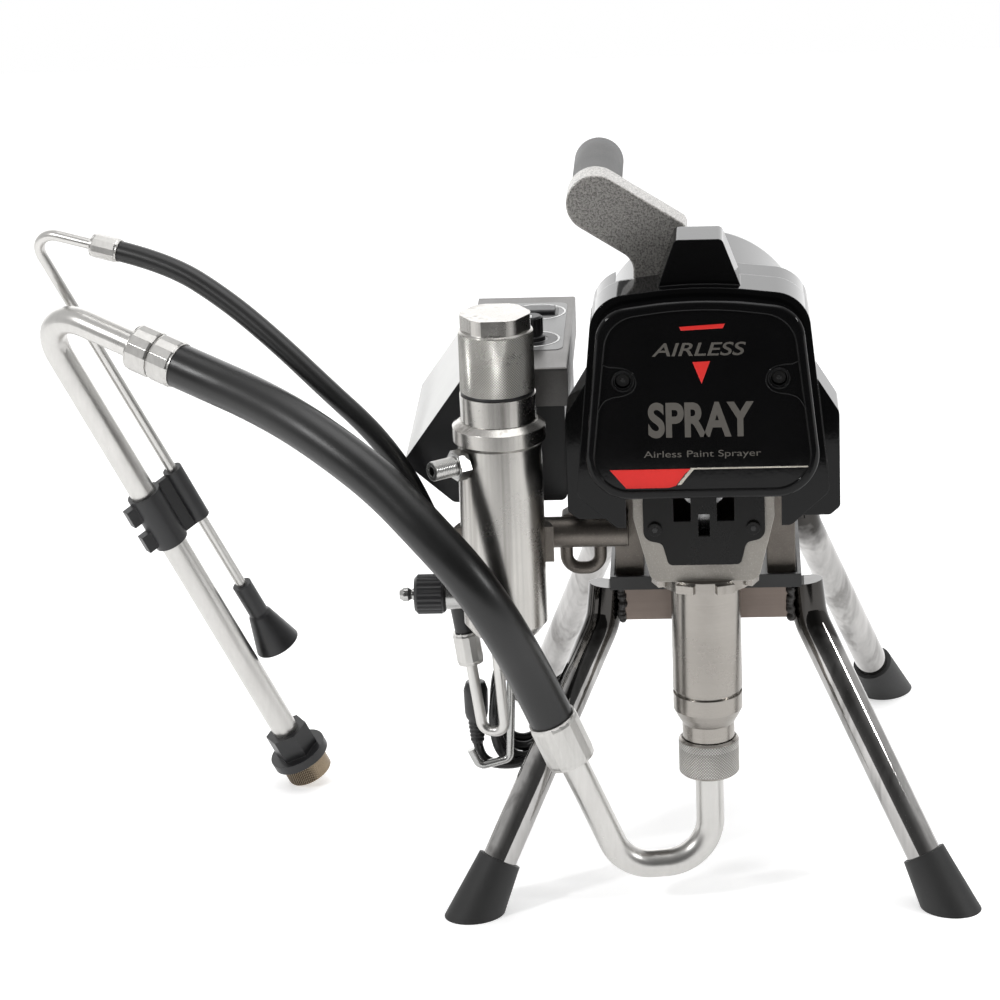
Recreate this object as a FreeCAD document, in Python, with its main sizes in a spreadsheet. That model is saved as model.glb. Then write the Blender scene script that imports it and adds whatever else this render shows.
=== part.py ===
import FreeCAD, Part
import Sketcher
import math
import os
from types import SimpleNamespace
from FreeCAD import Vector as V

# A portable airless paint sprayer on a four-legged tube stand.
# Working axes: +X to the operator's right, +Y to the back, +Z up, floor at Z = 0.
# All places are given from the pump's axis, and place() moves them to the row's
# origin, the middle of the machine on the floor.

doc = FreeCAD.newDocument("AirlessPaintSprayer")
sheet = doc.addObject("Spreadsheet::Sheet", "Sizes")

SIZES = [
    ("centre_x", -11.87, "middle of the machine from the pump's axis, across"),
    ("centre_y", 188.76, "middle of the machine from the pump's axis, back"),
    # stand
    ("leg_dia", 25.0, "stand tube"),
    ("leg_wall", 1.5, "stand tube wall"),
    ("bar_length", 117.0, "crossbar between the legs"),
    ("bar_height", 24.0, "crossbar"),
    ("bar_depth", 22.0, "crossbar"),
    ("bar_bottom", 200.0, "crossbar's underside above the floor"),
    ("front_bar_y", 38.0, "front face of the front crossbar"),
    ("rear_bar_y", 250.0, "front face of the rear crossbar"),
    ("front_foot_x", 169.0, "front foot on the floor"),
    ("front_foot_y", -22.0, "front foot on the floor"),
    ("rear_foot_x", 142.0, "rear foot on the floor"),
    ("rear_foot_y", 400.0, "rear foot on the floor"),
    ("foot_top_radius", 15.6, "rubber foot at its top"),
    ("foot_base_radius", 19.5, "rubber foot at the floor"),
    ("foot_length", 42.0, "rubber foot along the leg"),
    ("foot_pad", 14.0, "rubber under the end of the tube"),
    ("tray_half_width", 68.0, "tray"),
    ("tray_front_y", 34.0, "tray"),
    ("tray_depth", 242.0, "tray"),
    ("tray_sheet", 3.0, "tray sheet"),
    ("tray_lip", 7.0, "tray lip above its floor"),
    # drive
    ("crank_z", 330.0, "crank axis height"),
    ("crank_throw", 12.0, "crank radius, half the pump's stroke"),
    ("gear_module", 1.25, "second gear stage"),
    ("fast_module", 1.0, "first gear stage"),
    ("motor_rise", 46.0, "motor axis above the crank axis"),
    ("motor_radius", 56.0, "motor can"),
    ("motor_length", 88.0, "motor can"),
    ("case_half_width", 64.0, "gear housing"),
    ("case_front_y", 45.0, "gear housing front face"),
    ("case_depth", 47.0, "gear housing"),
    ("case_wall", 4.0, "gear housing wall"),
    ("case_top", 405.0, "gear housing top"),
    ("shaft_radius", 5.0, "motor and intermediate shafts"),
    ("crank_shaft_radius", 12.0, "crank shaft"),
    ("running_gap", 0.05, "radial clearance of a running fit"),
    ("side_gap", 0.5, "clearance beside a moving face"),
    # pump
    ("pump_radius", 24.5, "pump sleeve"),
    ("pump_bore", 18.0, "pump bore radius"),
    ("pump_bottom", 163.0, "pump sleeve's lower end"),
    ("pump_shoulder", 252.0, "underside of the bearing housing"),
    ("pump_neck", 20.0, "threaded neck radius"),
    ("rod_radius", 9.0, "piston rod"),
    ("valve_radius", 24.5, "intake valve body"),
    ("valve_shoulder", 126.0, "intake valve above its spigot"),
    ("spigot_radius", 16.0, "intake valve spigot"),
    ("nut_radius", 21.0, "knurled coupling nut"),
    ("nut_bottom", 98.0, "knurled coupling nut"),
    ("ball_radius", 7.0, "intake ball"),
    ("seat_radius", 5.5, "intake seat hole"),
    # suction and drain sets
    ("pipe_radius", 10.0, "suction pipe"),
    ("pipe_bend", 32.0, "bend radius of the suction pipe"),
    ("hose_radius", 16.0, "suction hose"),
    ("thin_pipe_radius", 4.0, "drain pipe"),
    ("thin_hose_radius", 7.5, "drain hose"),
    ("strainer_radius", 17.5, "strainer mesh"),
    # manifold
    ("manifold_x", -141.0, "manifold axis"),
    ("manifold_bottom", 208.0, "manifold"),
    ("manifold_radius", 29.5, "manifold body"),
    ("manifold_bore", 17.0, "manifold bore radius"),
    ("collar_top", 384.0, "manifold collar's top face"),
    ("cap_radius", 25.5, "knurled cap"),
    ("cap_top", 441.0, "knurled cap"),
    ("outlet_z", 338.0, "outlet height"),
    ("outlet_angle", 37.0, "outlet turned to the front from straight left"),
    ("outlet_radius", 6.58, "1/4 in NPSM thread, over the crests"),
    ("outlet_thread", 18.0, "thread length"),
    ("outlet_bore", 3.5, "outlet bore radius"),
    ("prime_z", 236.0, "prime valve height"),
    ("prime_knob_radius", 13.5, "prime knob"),
    # control box
    ("box_right", -94.0, "control box side nearest the motor"),
    ("box_left", -166.0, "control box top's outer edge"),
    ("box_belly", -213.0, "outermost edge of the sloping side"),
    ("box_front_y", 50.0, "control box"),
    ("box_depth", 180.0, "control box"),
    ("box_top", 383.0, "control box under its cover"),
    ("box_bottom", 287.0, "control box"),
    ("box_wall", 2.5, "control box wall"),
    ("cover_sheet", 3.0, "control box cover"),
    ("knob_x", -122.0, "pressure knob"),
    ("knob_y", 120.0, "pressure knob"),
    ("switch_x", -120.0, "power switch"),
    ("switch_y", 190.0, "power switch"),
    # hood and front cover
    ("hood_half_width", 87.0, "hood at its widest"),
    ("wing_half_width", 95.0, "hood's side wings"),
    ("wing_top", 364.0, "hood's side wings"),
    ("hood_front_y", -36.0, "hood front wall"),
    ("wing_front_y", 2.0, "hood's side wings"),
    ("hood_back_y", 44.0, "hood back edge"),
    ("hood_bottom", 295.0, "hood lower edge"),
    ("hood_top", 468.0, "hood crown"),
    ("hood_wall", 3.0, "moulded wall"),
    ("front_half_width", 83.0, "front cover at its foot"),
    ("front_top_half", 69.0, "front cover at its top"),
    ("front_bottom", 319.0, "front cover"),
    ("front_top", 462.0, "front cover"),
    ("front_depth", 12.0, "front cover"),
    ("shroud_radius", 74.0, "motor shroud"),
    ("shroud_front_y", 48.5, "motor shroud"),
    ("shroud_length", 146.0, "motor shroud"),
    ("shroud_bottom", 337.0, "motor shroud"),
    # handle
    ("grip_x", -70.5, "handle grip axis"),
    ("grip_z", 511.0, "handle grip axis"),
    ("grip_radius", 17.5, "handle grip"),
    ("grip_length", 100.0, "handle grip"),
    ("arm_radius", 20.0, "rounded end of the handle bracket"),
    ("arm_front_y", 20.0, "handle bracket front face"),
    ("arm_depth", 27.0, "handle bracket"),
    # power cord
    ("cord_radius", 3.5, "power cord"),
]


class Size(float):
    """A number that also knows its spreadsheet formula."""

    def __new__(cls, number, formula):
        made = float.__new__(cls, number)
        made.formula = formula
        return made

    def __add__(self, other):
        return combined(self, "+", other, float(self) + float(other))

    def __radd__(self, other):
        return combined(other, "+", self, float(other) + float(self))

    def __sub__(self, other):
        return combined(self, "-", other, float(self) - float(other))

    def __rsub__(self, other):
        return combined(other, "-", self, float(other) - float(self))

    def __mul__(self, other):
        return combined(self, "*", other, float(self) * float(other))

    def __rmul__(self, other):
        return combined(other, "*", self, float(other) * float(self))

    def __truediv__(self, other):
        return combined(self, "/", other, float(self) / float(other))

    def __neg__(self):
        return combined(0, "-", self, -float(self))


def formula_of(number):
    return number.formula if isinstance(number, Size) else "%.6f" % number


def combined(left, sign, right, number):
    return Size(number, "(%s %s %s)" % (formula_of(left), sign, formula_of(right)))


for row, (name, number, note) in enumerate(SIZES, start=1):
    sheet.set("A%d" % row, name)
    sheet.set("B%d" % row, "%g" % number)
    sheet.set("C%d" % row, note)
    sheet.setAlias("B%d" % row, name)
doc.recompute()
S = SimpleNamespace(**{name: Size(float(sheet.get(name)), "Sizes." + name) for name, _, _ in SIZES})

nodes = []
UP = V(0, 0, 1)
BACK = V(0, 1, 0)
LEFT = V(-1, 0, 0)


# ---------------------------------------------------------------- tools

def bind(thing, prop, number):
    """Give a property its value, tied to the sheet when the number comes from it."""
    if isinstance(number, Size):
        thing.setExpression(prop, number.formula)
    else:
        setattr(thing, prop, float(number))


def place(thing, x=0.0, y=0.0, z=0.0, toward=UP):
    """Put a thing at a place measured from the pump's axis, its own Z turned toward a direction."""
    spot = (x - S.centre_x, y - S.centre_y, z)
    thing.Placement = FreeCAD.Placement(V(*[float(n) for n in spot]), FreeCAD.Rotation(UP, toward))
    for letter, number in zip("xyz", spot):
        if isinstance(number, Size):
            thing.setExpression(".Placement.Base." + letter, number.formula)
    return thing


def node(label, thing):
    thing.Label = label
    nodes.append(thing)
    return thing


def drawn(body, plane, corners):
    """A closed outline of straight lines, each corner held by its two distances from the origin."""
    sketch = body.newObject("Sketcher::SketchObject", "Outline")
    base = [f for f in body.Origin.OriginFeatures if f.Role == plane][0]
    sketch.AttachmentSupport = [(base, "")]
    sketch.MapMode = "FlatFace"
    ends = [V(float(x), float(y), 0) for x, y in corners]
    count = len(ends)
    sketch.addGeometry([Part.LineSegment(ends[i], ends[(i + 1) % count]) for i in range(count)], False)
    sketch.addConstraint([Sketcher.Constraint("Coincident", i, 2, (i + 1) % count, 1) for i in range(count)])
    for i, corner in enumerate(corners):
        for kind, axis, number in (("DistanceX", -2, corner[0]), ("DistanceY", -1, corner[1])):
            if abs(float(number)) < 1e-9:
                sketch.addConstraint(Sketcher.Constraint("PointOnObject", i, 1, axis))
                continue
            index = sketch.addConstraint(Sketcher.Constraint(kind, -1, 1, i, 1, float(number)))
            if isinstance(number, Size):
                sketch.setExpression("Constraints[%d]" % index, number.formula)
    return sketch


def turned(name, profile):
    """A body turned about its own Z from (radius, height) corners."""
    body = doc.addObject("PartDesign::Body", name)
    sketch = drawn(body, "XZ_Plane", profile)
    turn = body.newObject("PartDesign::Revolution", "Turn")
    turn.Profile = sketch
    turn.ReferenceAxis = (sketch, ["V_Axis"])
    turn.Angle = 360
    sketch.Visibility = False
    return body


def box(name, low, high):
    """A block between two corners measured from the pump's axis."""
    block = doc.addObject("Part::Box", name)
    for prop, start, end in zip(("Length", "Width", "Height"), low, high):
        bind(block, prop, end - start)
    return place(block, *low)


def rod(name, radius, length, x, y, z, toward=UP):
    """A round bar that starts at a place and runs toward a direction."""
    bar = doc.addObject("Part::Cylinder", name)
    bind(bar, "Radius", radius)
    bind(bar, "Height", length)
    return place(bar, x, y, z, toward)


def cut(name, base, *tools):
    thing = base
    if len(tools) > 1:
        tool = joined(name + "Tools", *tools)
    else:
        tool = tools[0]
    thing = doc.addObject("Part::Cut", name)
    thing.Base = base
    thing.Tool = tool
    return thing


def joined(name, *pieces):
    thing = doc.addObject("Part::MultiFuse", name)
    thing.Shapes = list(pieces)
    return thing


def feature(name, shape):
    """A shape made with Part's own functions, in places measured from the pump's axis."""
    thing = doc.addObject("Part::Feature", name)
    thing.Shape = shape
    return place(thing)


def rounded_path(points, radii, closed=False):
    """Straight runs joined by tangent arcs, one radius for each corner."""
    count = len(points)
    corners = range(count) if closed else range(1, count - 1)
    starts = {}
    finishes = {}
    arcs = {}
    for i in corners:
        before = (points[i - 1] - points[i]).normalize()
        after = (points[(i + 1) % count] - points[i]).normalize()
        radius = radii[i]
        turn = math.pi - before.getAngle(after)
        if radius <= 0 or turn < 1e-6:
            starts[i] = finishes[i] = points[i]
            continue
        reach = radius * math.tan(turn / 2)
        starts[i] = points[i] + before * reach
        finishes[i] = points[i] + after * reach
        middle = (before + after).normalize()
        centre = points[i] + middle * (radius / math.cos(turn / 2))
        arcs[i] = Part.Arc(starts[i], centre - middle * radius, finishes[i])
    edges = []
    last = count if closed else count - 1
    for i in range(last):
        following = (i + 1) % count
        here = finishes.get(i, points[i])
        there = starts.get(following, points[following])
        if here.distanceToPoint(there) > 1e-6:
            edges.append(Part.LineSegment(here, there).toShape())
        if following in arcs:
            edges.append(arcs[following].toShape())
    return Part.Wire(Part.__sortEdges__(edges))


def outline(points):
    """A closed upright outline from (x, z, corner radius) points, in the plane Y = 0."""
    corners = [V(float(x), 0, float(z)) for x, z, _ in points]
    return rounded_path(corners, [float(r) for _, _, r in points], closed=True)


def slab(points, y_front, y_back):
    """An upright outline given a depth from front to back."""
    wire = outline(points)
    wire.translate(V(0, float(y_front), 0))
    return Part.Face(wire).extrude(V(0, float(y_back) - float(y_front), 0))


def block(low, high):
    size = [float(b) - float(a) for a, b in zip(low, high)]
    return Part.makeBox(*size, V(*[float(n) for n in low]))


def bar(radius, start, end):
    """A round bar between two points."""
    run = end - start
    return Part.makeCylinder(float(radius), run.Length, start, run)


def swept(path, radius):
    start = path.OrderedVertexes[0].Point
    first = path.OrderedEdges[0]
    heading = first.tangentAt(first.FirstParameter)
    if first.valueAt(first.FirstParameter).distanceToPoint(start) > 1e-6:
        heading = first.tangentAt(first.LastParameter) * -1
    ring = Part.Wire([Part.Circle(start, heading, float(radius)).toShape()])
    return path.makePipeShell([ring], True, False)


def cord_radii(points):
    """Each bend takes 0.45 of the shorter run beside it."""
    radii = [0.0] * len(points)
    for i in range(1, len(points) - 1):
        before = points[i - 1] - points[i]
        after = points[i + 1] - points[i]
        turn = math.pi - before.getAngle(after)
        radii[i] = 0.45 * min(before.Length, after.Length) / math.tan(turn / 2)
    return radii


def cord(name, points, radius):
    """A hose or cord: straight runs and tangent arcs, its volume compared with its length."""
    radii = cord_radii(points)
    path = rounded_path(points, radii)
    shape = swept(path, radius)
    expected = math.pi * float(radius) ** 2 * path.Length
    print(name, "length %.0f" % path.Length, "volume ratio %.4f" % (shape.Volume / expected),
          "radii", ["%.0f" % r for r in radii[1:-1]])
    return feature(name, shape)


def bent_tube(points, bend, outer, inner=0.0):
    """A metal tube with one bend radius throughout."""
    path = rounded_path(points, [float(bend)] * len(points))
    tube = swept(path, outer)
    if float(inner) > 0:
        tube = tube.cut(swept(path, inner))
    return tube


def toothed(teeth, module, width, phase):
    """A spur gear blank about +Y with its first tooth at the angle phase, from +X toward +Z."""
    pitch_radius = module * teeth / 2
    step = 2 * math.pi / teeth
    flank = ((-0.33, pitch_radius - 1.25 * module), (-0.21, pitch_radius),
             (-0.09, pitch_radius + 0.9 * module), (0.09, pitch_radius + 0.9 * module),
             (0.21, pitch_radius), (0.33, pitch_radius - 1.25 * module))
    corners = []
    for tooth in range(teeth):
        for share, radius in flank:
            angle = phase + (tooth + share) * step
            corners.append(V(radius * math.cos(angle), 0, radius * math.sin(angle)))
    face = Part.Face(Part.makePolygon(corners + corners[:1]))
    return face.extrude(V(0, float(width), 0))


def ring_on(start, toward, outer, inner, length):
    """A round collar from a point along a direction."""
    far = start + V(toward).normalize() * float(length)
    shape = bar(outer, start, far)
    if float(inner) > 0:
        shape = shape.cut(bar(inner, start, far))
    return shape


# ---------------------------------------------------------------- stand

BAR_TOP = S.bar_bottom + S.bar_height
TRAY_FLOOR = BAR_TOP + S.tray_sheet


def stand_frame():
    half = S.bar_length / 2
    rail = 12.0
    pieces = []
    for name, y in (("FrontBar", S.front_bar_y), ("RearBar", S.rear_bar_y)):
        pieces.append(box(name, (-half, y, S.bar_bottom), (half, y + S.bar_depth, BAR_TOP)))
    for name, x in (("LeftRail", -half), ("RightRail", half - rail)):
        low = (x, S.front_bar_y + S.bar_depth, BAR_TOP - rail)
        pieces.append(box(name, low, (x + rail, S.rear_bar_y, BAR_TOP)))
    node("stand_frame", joined("StandFrame", *pieces))


def base_tray():
    back = S.tray_front_y + S.tray_depth
    top = TRAY_FLOOR + S.tray_lip
    outside = box("TrayOutside", (-S.tray_half_width, S.tray_front_y, BAR_TOP), (S.tray_half_width, back, top))
    half = S.tray_half_width - S.tray_sheet
    low = (-half, S.tray_front_y + S.tray_sheet, TRAY_FLOOR)
    inside = box("TrayInside", low, (half, back - S.tray_sheet, top + 1))
    node("base_tray", cut("BaseTray", outside, inside))


def leg_points(side, front):
    """Top, shoulder and floor points of a leg's centre line."""
    lean = -1 if front else 1
    bar_y = S.front_bar_y if front else S.rear_bar_y
    middle = float(bar_y + S.bar_depth / 2)
    x_top = float(S.bar_length + S.leg_dia) / 2
    foot_x = float(S.front_foot_x if front else S.rear_foot_x)
    foot_y = float(S.front_foot_y if front else S.rear_foot_y)
    top = V(side * x_top, middle, float(BAR_TOP))
    shoulder = V(side * (x_top + 3), middle + 2 * lean, float(S.bar_bottom) - 4)
    return top, shoulder, V(side * foot_x, foot_y, 0)


def foot_shape(shoulder, floor):
    """A tapered rubber foot on the end of a leg, trimmed flat where it stands."""
    up = (shoulder - floor).normalize()
    overrun = float(S.foot_base_radius)
    taper = float(S.foot_base_radius - S.foot_top_radius) / float(S.foot_length)
    start = floor - up * overrun
    wide = float(S.foot_base_radius) + taper * overrun
    cone = Part.makeCone(wide, float(S.foot_top_radius), overrun + float(S.foot_length), start, up)
    reach = 120.0
    below = Part.makeBox(2 * reach, 2 * reach, reach, V(floor.x - reach, floor.y - reach, -reach))
    socket = bar(S.leg_dia / 2, floor + up * float(S.foot_pad), floor + up * (float(S.foot_length) + 5))
    return cone.cut(below).cut(socket)


def legs_and_feet():
    feet = []
    for front in (True, False):
        for side, hand in ((-1, "left"), (1, "right")):
            top, shoulder, floor = leg_points(side, front)
            up = (shoulder - floor).normalize()
            end = floor + up * float(S.foot_pad)
            under_crown = top + (shoulder - top).normalize() * float(S.leg_wall)
            outside = bent_tube([top, shoulder, end], 40, S.leg_dia / 2)
            inside = bent_tube([under_crown, shoulder, end - up * 1.0], 40, S.leg_dia / 2 - S.leg_wall)
            place_name = "front" if front else "rear"
            node("%s_leg_%s" % (place_name, hand), feature("Leg", outside.cut(inside)))
            feet.append(foot_shape(shoulder, floor))
    node("rubber_feet", feature("RubberFeet", Part.makeCompound(feet)))


# ---------------------------------------------------------------- drive

MOTOR_Z = S.crank_z + S.motor_rise
CASE_BACK = S.case_front_y + S.case_depth
CRANK_TEETH = 60
SLOW_PINION_TEETH = 15
FAST_GEAR_TEETH = 48
ROTOR_TEETH = 12
SLOW_CENTRES = float(S.gear_module) * (CRANK_TEETH + SLOW_PINION_TEETH) / 2
FAST_CENTRES = float(S.fast_module) * (FAST_GEAR_TEETH + ROTOR_TEETH) / 2
RISE = float(S.motor_rise)
IDLER_UP = (SLOW_CENTRES ** 2 - FAST_CENTRES ** 2 + RISE ** 2) / (2 * RISE)
IDLER_X = math.sqrt(SLOW_CENTRES ** 2 - IDLER_UP ** 2)
IDLER_Z = float(S.crank_z) + IDLER_UP
CRANK_AXIS = V(0, 0, float(S.crank_z))
IDLER_AXIS = V(IDLER_X, 0, IDLER_Z)
MOTOR_AXIS = V(0, 0, float(MOTOR_Z))
FRONT_INNER_Y = float(S.case_front_y + S.case_wall)
BACK_INNER_Y = float(CASE_BACK - S.case_wall)
SLOW_GEAR_Y = FRONT_INNER_Y + 11
SLOW_WIDTH = 11.0
FAST_GEAR_Y = SLOW_GEAR_Y + SLOW_WIDTH + 4
FAST_WIDTH = 8.0
BORE_EXTRA = S.running_gap
CRANK_BEARING_RADIUS = 20.0
CRANK_STUB_RADIUS = 8.0
CRANK_STUB_BEARING = 14.0
MOTOR_BEARING_RADIUS = 10.0
HOUSING_FRONT_Y = -28.0
HOUSING_WALL_Y = float(S.case_front_y) - 10
ROD_HALF = 12.0
CRANK_DISC_Y = ROD_HALF + 14


def heading(a, b):
    """The angle of the line from one axis to another, from +X toward +Z."""
    return math.atan2(b.z - a.z, b.x - a.x)


def at_y(axis, y):
    return V(axis.x, float(y), axis.z)


def gear_housing():
    half = S.case_half_width
    pocket = S.case_half_width - S.case_wall
    body = box("CaseBlock", (-half, S.case_front_y, TRAY_FLOOR), (half, CASE_BACK, S.case_top))
    corners = doc.addObject("Part::Fillet", "CaseCorners")
    corners.Base = body
    doc.recompute()
    long_edges = [i for i, e in enumerate(body.Shape.Edges, start=1)
                  if abs(e.Length - float(S.case_depth)) < 1e-6 and e.CenterOfMass.z > float(S.crank_z)]
    corners.Edges = [(i, 12.0, 12.0) for i in long_edges]
    inside = box("CaseInside", (-pocket, S.case_front_y + S.case_wall, S.crank_z - 45),
                 (pocket, CASE_BACK - S.case_wall, S.case_top - S.case_wall - 3))
    arch = box("CaseArch", (-44.0, S.case_front_y - 1, TRAY_FLOOR - 1),
               (44.0, CASE_BACK + 1, TRAY_FLOOR + 42))
    holes = [rod("CrankHole", S.crank_shaft_radius + 0.5, S.case_wall + 2, 0, S.case_front_y - 1, S.crank_z, BACK),
             rod("StubHole", CRANK_STUB_BEARING, S.case_wall + 2, 0, CASE_BACK - S.case_wall - 1, S.crank_z, BACK),
             rod("MotorHole", MOTOR_BEARING_RADIUS, S.case_wall + 2, 0, CASE_BACK - S.case_wall - 1, MOTOR_Z, BACK),
             rod("IdlerHole", S.shaft_radius + BORE_EXTRA, S.case_depth + 2, IDLER_X, S.case_front_y - 1, IDLER_Z,
                 BACK)]
    # the cast arm reaches out to the filter manifold and ends in a saddle round it
    arm_y = 30.0
    arm_z = 270.0
    arm = rod("Arm", 11.0, -S.manifold_x - 54, S.manifold_x, arm_y, arm_z, V(1, 0, 0))
    root = box("ArmRoot", (-S.case_half_width - 2, arm_y, arm_z - 11), (-54.0, S.case_front_y + 1, arm_z + 11))
    saddle = rod("ArmSaddle", S.manifold_radius + 6, 26.0, S.manifold_x, 0, arm_z - 13)
    inner = rod("ArmSaddleBore", S.manifold_radius, 28.0, S.manifold_x, 0, arm_z - 14)
    front_half = box("ArmSaddleFront", (S.manifold_x - 45, -45.0, arm_z - 15), (S.manifold_x + 45, 4.0, arm_z + 15))
    hook = feature("ArmHook", bent_tube([V(-74, arm_y, arm_z), V(-74, arm_y, 243), V(-98, arm_y, 243),
                                         V(-98, arm_y, arm_z)], 10, 4.5))
    flare = feature("ArmFlare", slab([(-101, arm_z + 1, 0), (-101, arm_z + 11, 2), (-92, arm_z + 16, 2),
                                      (-82, arm_z + 16, 2), (-78, arm_z + 28, 2), (-62, arm_z + 28, 0),
                                      (-62, arm_z + 1, 0)], arm_y + 1, float(S.case_front_y) + 1))
    hollow = cut("CaseHollow", corners, inside, arch, *holes)
    saddle_half = cut("ArmSaddleHalf", joined("ArmAll", arm, root, saddle), inner, front_half)
    node("gear_housing", joined("GearHousing", hollow, saddle_half, hook, flare))


def bearing_housing():
    front = HOUSING_FRONT_Y
    back = S.case_front_y
    bottom = float(S.pump_shoulder)
    crank = float(S.crank_z)
    outside = slab([(-49, crank + 44, 6), (49, crank + 44, 6), (49, crank - 30, 8), (37, bottom, 8),
                    (-37, bottom, 8), (-49, crank - 30, 8)], front, back)
    inside = slab([(-34, crank + 36, 6), (34, crank + 36, 6), (34, crank - 18, 5), (27, crank - 32, 5),
                   (24, bottom + 16, 6), (-24, bottom + 16, 6), (-27, crank - 32, 5), (-34, crank - 18, 5)],
                  front - 1, HOUSING_WALL_Y)
    shape = outside.cut(inside)
    shape = shape.cut(bar(S.pump_neck, V(0, 0, bottom - 1), V(0, 0, bottom + 20)))
    shape = shape.cut(bar(CRANK_BEARING_RADIUS, at_y(CRANK_AXIS, HOUSING_WALL_Y - 1), at_y(CRANK_AXIS, 46)))
    for x, z in guard_screw_places():
        shape = shape.cut(bar(2.0, V(x, front - 1, z), V(x, front + 9, z)))
    node("bearing_housing", feature("BearingHousing", shape))


def guard_screw_places():
    level = float(S.crank_z) - 38
    return [(-34.0, level), (34.0, level)]


def finger_guard():
    crank = float(S.crank_z)
    thick = 2.5
    front = HOUSING_FRONT_Y - thick
    shape = slab([(-36, crank, 3), (36, crank, 3), (42, crank - 14, 5), (42, crank - 46, 7.5), (29, crank - 49, 5),
                  (25, crank - 65, 4), (-25, crank - 65, 4), (-29, crank - 49, 5), (-42, crank - 46, 7.5),
                  (-42, crank - 14, 5)], front, HOUSING_FRONT_Y)
    for side in (-1, 1):
        low, high = sorted((side * 9.0, side * 21.0))
        shape = shape.cut(block((low, front - 1, crank - 33), (high, HOUSING_FRONT_Y + 1, crank - 15)))
    shape = shape.cut(block((-4, front - 1, crank - 44), (4, HOUSING_FRONT_Y + 1, crank - 28)))
    for x, z in guard_screw_places():
        shape = shape.cut(bar(2.0, V(x, front - 1, z), V(x, HOUSING_FRONT_Y + 1, z)))
    node("finger_guard", feature("FingerGuard", shape))


def crank_gear():
    phase = heading(CRANK_AXIS, IDLER_AXIS)
    wheel = toothed(CRANK_TEETH, float(S.gear_module), SLOW_WIDTH, phase)
    wheel.translate(at_y(CRANK_AXIS, SLOW_GEAR_Y))
    shaft = bar(S.crank_shaft_radius, at_y(CRANK_AXIS, CRANK_DISC_Y), at_y(CRANK_AXIS, SLOW_GEAR_Y + 1))
    disc = bar(24.0, at_y(CRANK_AXIS, CRANK_DISC_Y), at_y(CRANK_AXIS, HOUSING_WALL_Y - 1))
    stub = bar(CRANK_STUB_RADIUS, at_y(CRANK_AXIS, SLOW_GEAR_Y), at_y(CRANK_AXIS, CASE_BACK - 0.5))
    node("crank_gear", feature("CrankGear", wheel.fuse([shaft, disc, stub]).removeSplitter()))


def reduction_gear():
    toward_crank = heading(IDLER_AXIS, CRANK_AXIS)
    pinion = toothed(SLOW_PINION_TEETH, float(S.gear_module), SLOW_WIDTH + 3,
                     toward_crank + math.pi / SLOW_PINION_TEETH)
    pinion.translate(at_y(IDLER_AXIS, SLOW_GEAR_Y - 1))
    wheel = toothed(FAST_GEAR_TEETH, float(S.fast_module), FAST_WIDTH, heading(IDLER_AXIS, MOTOR_AXIS))
    wheel.translate(at_y(IDLER_AXIS, FAST_GEAR_Y))
    shaft = bar(S.shaft_radius, at_y(IDLER_AXIS, S.case_front_y + 0.5), at_y(IDLER_AXIS, CASE_BACK - 0.5))
    hub = bar(7.0, at_y(IDLER_AXIS, SLOW_GEAR_Y + 2), at_y(IDLER_AXIS, FAST_GEAR_Y + 1))
    node("reduction_gear", feature("ReductionGear", pinion.fuse([wheel, shaft, hub]).removeSplitter()))


def rotor():
    phase = heading(MOTOR_AXIS, IDLER_AXIS) + math.pi / ROTOR_TEETH
    pinion = toothed(ROTOR_TEETH, float(S.fast_module), FAST_WIDTH + 2, phase)
    pinion.translate(at_y(MOTOR_AXIS, FAST_GEAR_Y - 1))
    end = float(CASE_BACK + S.motor_length) - 1
    shaft = bar(S.shaft_radius, at_y(MOTOR_AXIS, FAST_GEAR_Y + FAST_WIDTH), at_y(MOTOR_AXIS, end))
    core = bar(38.0, at_y(MOTOR_AXIS, CASE_BACK + 16), at_y(MOTOR_AXIS, CASE_BACK + 54))
    brushes = bar(15.0, at_y(MOTOR_AXIS, CASE_BACK + 56), at_y(MOTOR_AXIS, CASE_BACK + 63))
    shape = pinion.fuse([shaft, core, brushes]).removeSplitter()
    node("rotor", feature("Rotor", shape))


def cooling_fan():
    front = float(CASE_BACK) + 65
    width = 12.0
    hub = ring_on(at_y(MOTOR_AXIS, front), BACK, 13.0, S.shaft_radius, width)
    disc = ring_on(at_y(MOTOR_AXIS, front), BACK, 46.0, S.shaft_radius, 2.0)
    shape = hub.fuse(disc)
    blades = 9
    for i in range(blades):
        blade = Part.makeBox(33.5, width, 1.6, at_y(MOTOR_AXIS, front) + V(12, 0, -0.8))
        blade.rotate(at_y(MOTOR_AXIS, front), BACK, 360.0 * i / blades)
        shape = shape.fuse(blade)
    node("cooling_fan", feature("CoolingFan", shape.removeSplitter()))


def motor():
    wall = 3.5
    can = S.motor_radius
    inner = can - wall
    length = S.motor_length
    magnet = 12.0
    profile = [(7.0, 0), (can, 0), (can, length), (inner, length), (inner, 56.0), (inner - magnet, 56.0),
               (inner - magnet, 16.0), (inner, 16.0), (inner, 5.0), (7.0, 5.0)]
    node("motor_body", place(turned("MotorBody", profile), 0, CASE_BACK, MOTOR_Z, BACK))
    bore = S.shaft_radius + BORE_EXTRA
    cap = [(0, 8.0), (can - 8, 8.0), (can, 3.0), (can, 0), (14.0, 0), (14.0, -8.0), (bore, -8.0), (bore, 3.0),
           (0, 3.0)]
    node("motor_end_cap", place(turned("MotorEndCap", cap), 0, CASE_BACK + length, MOTOR_Z, BACK))


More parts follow.
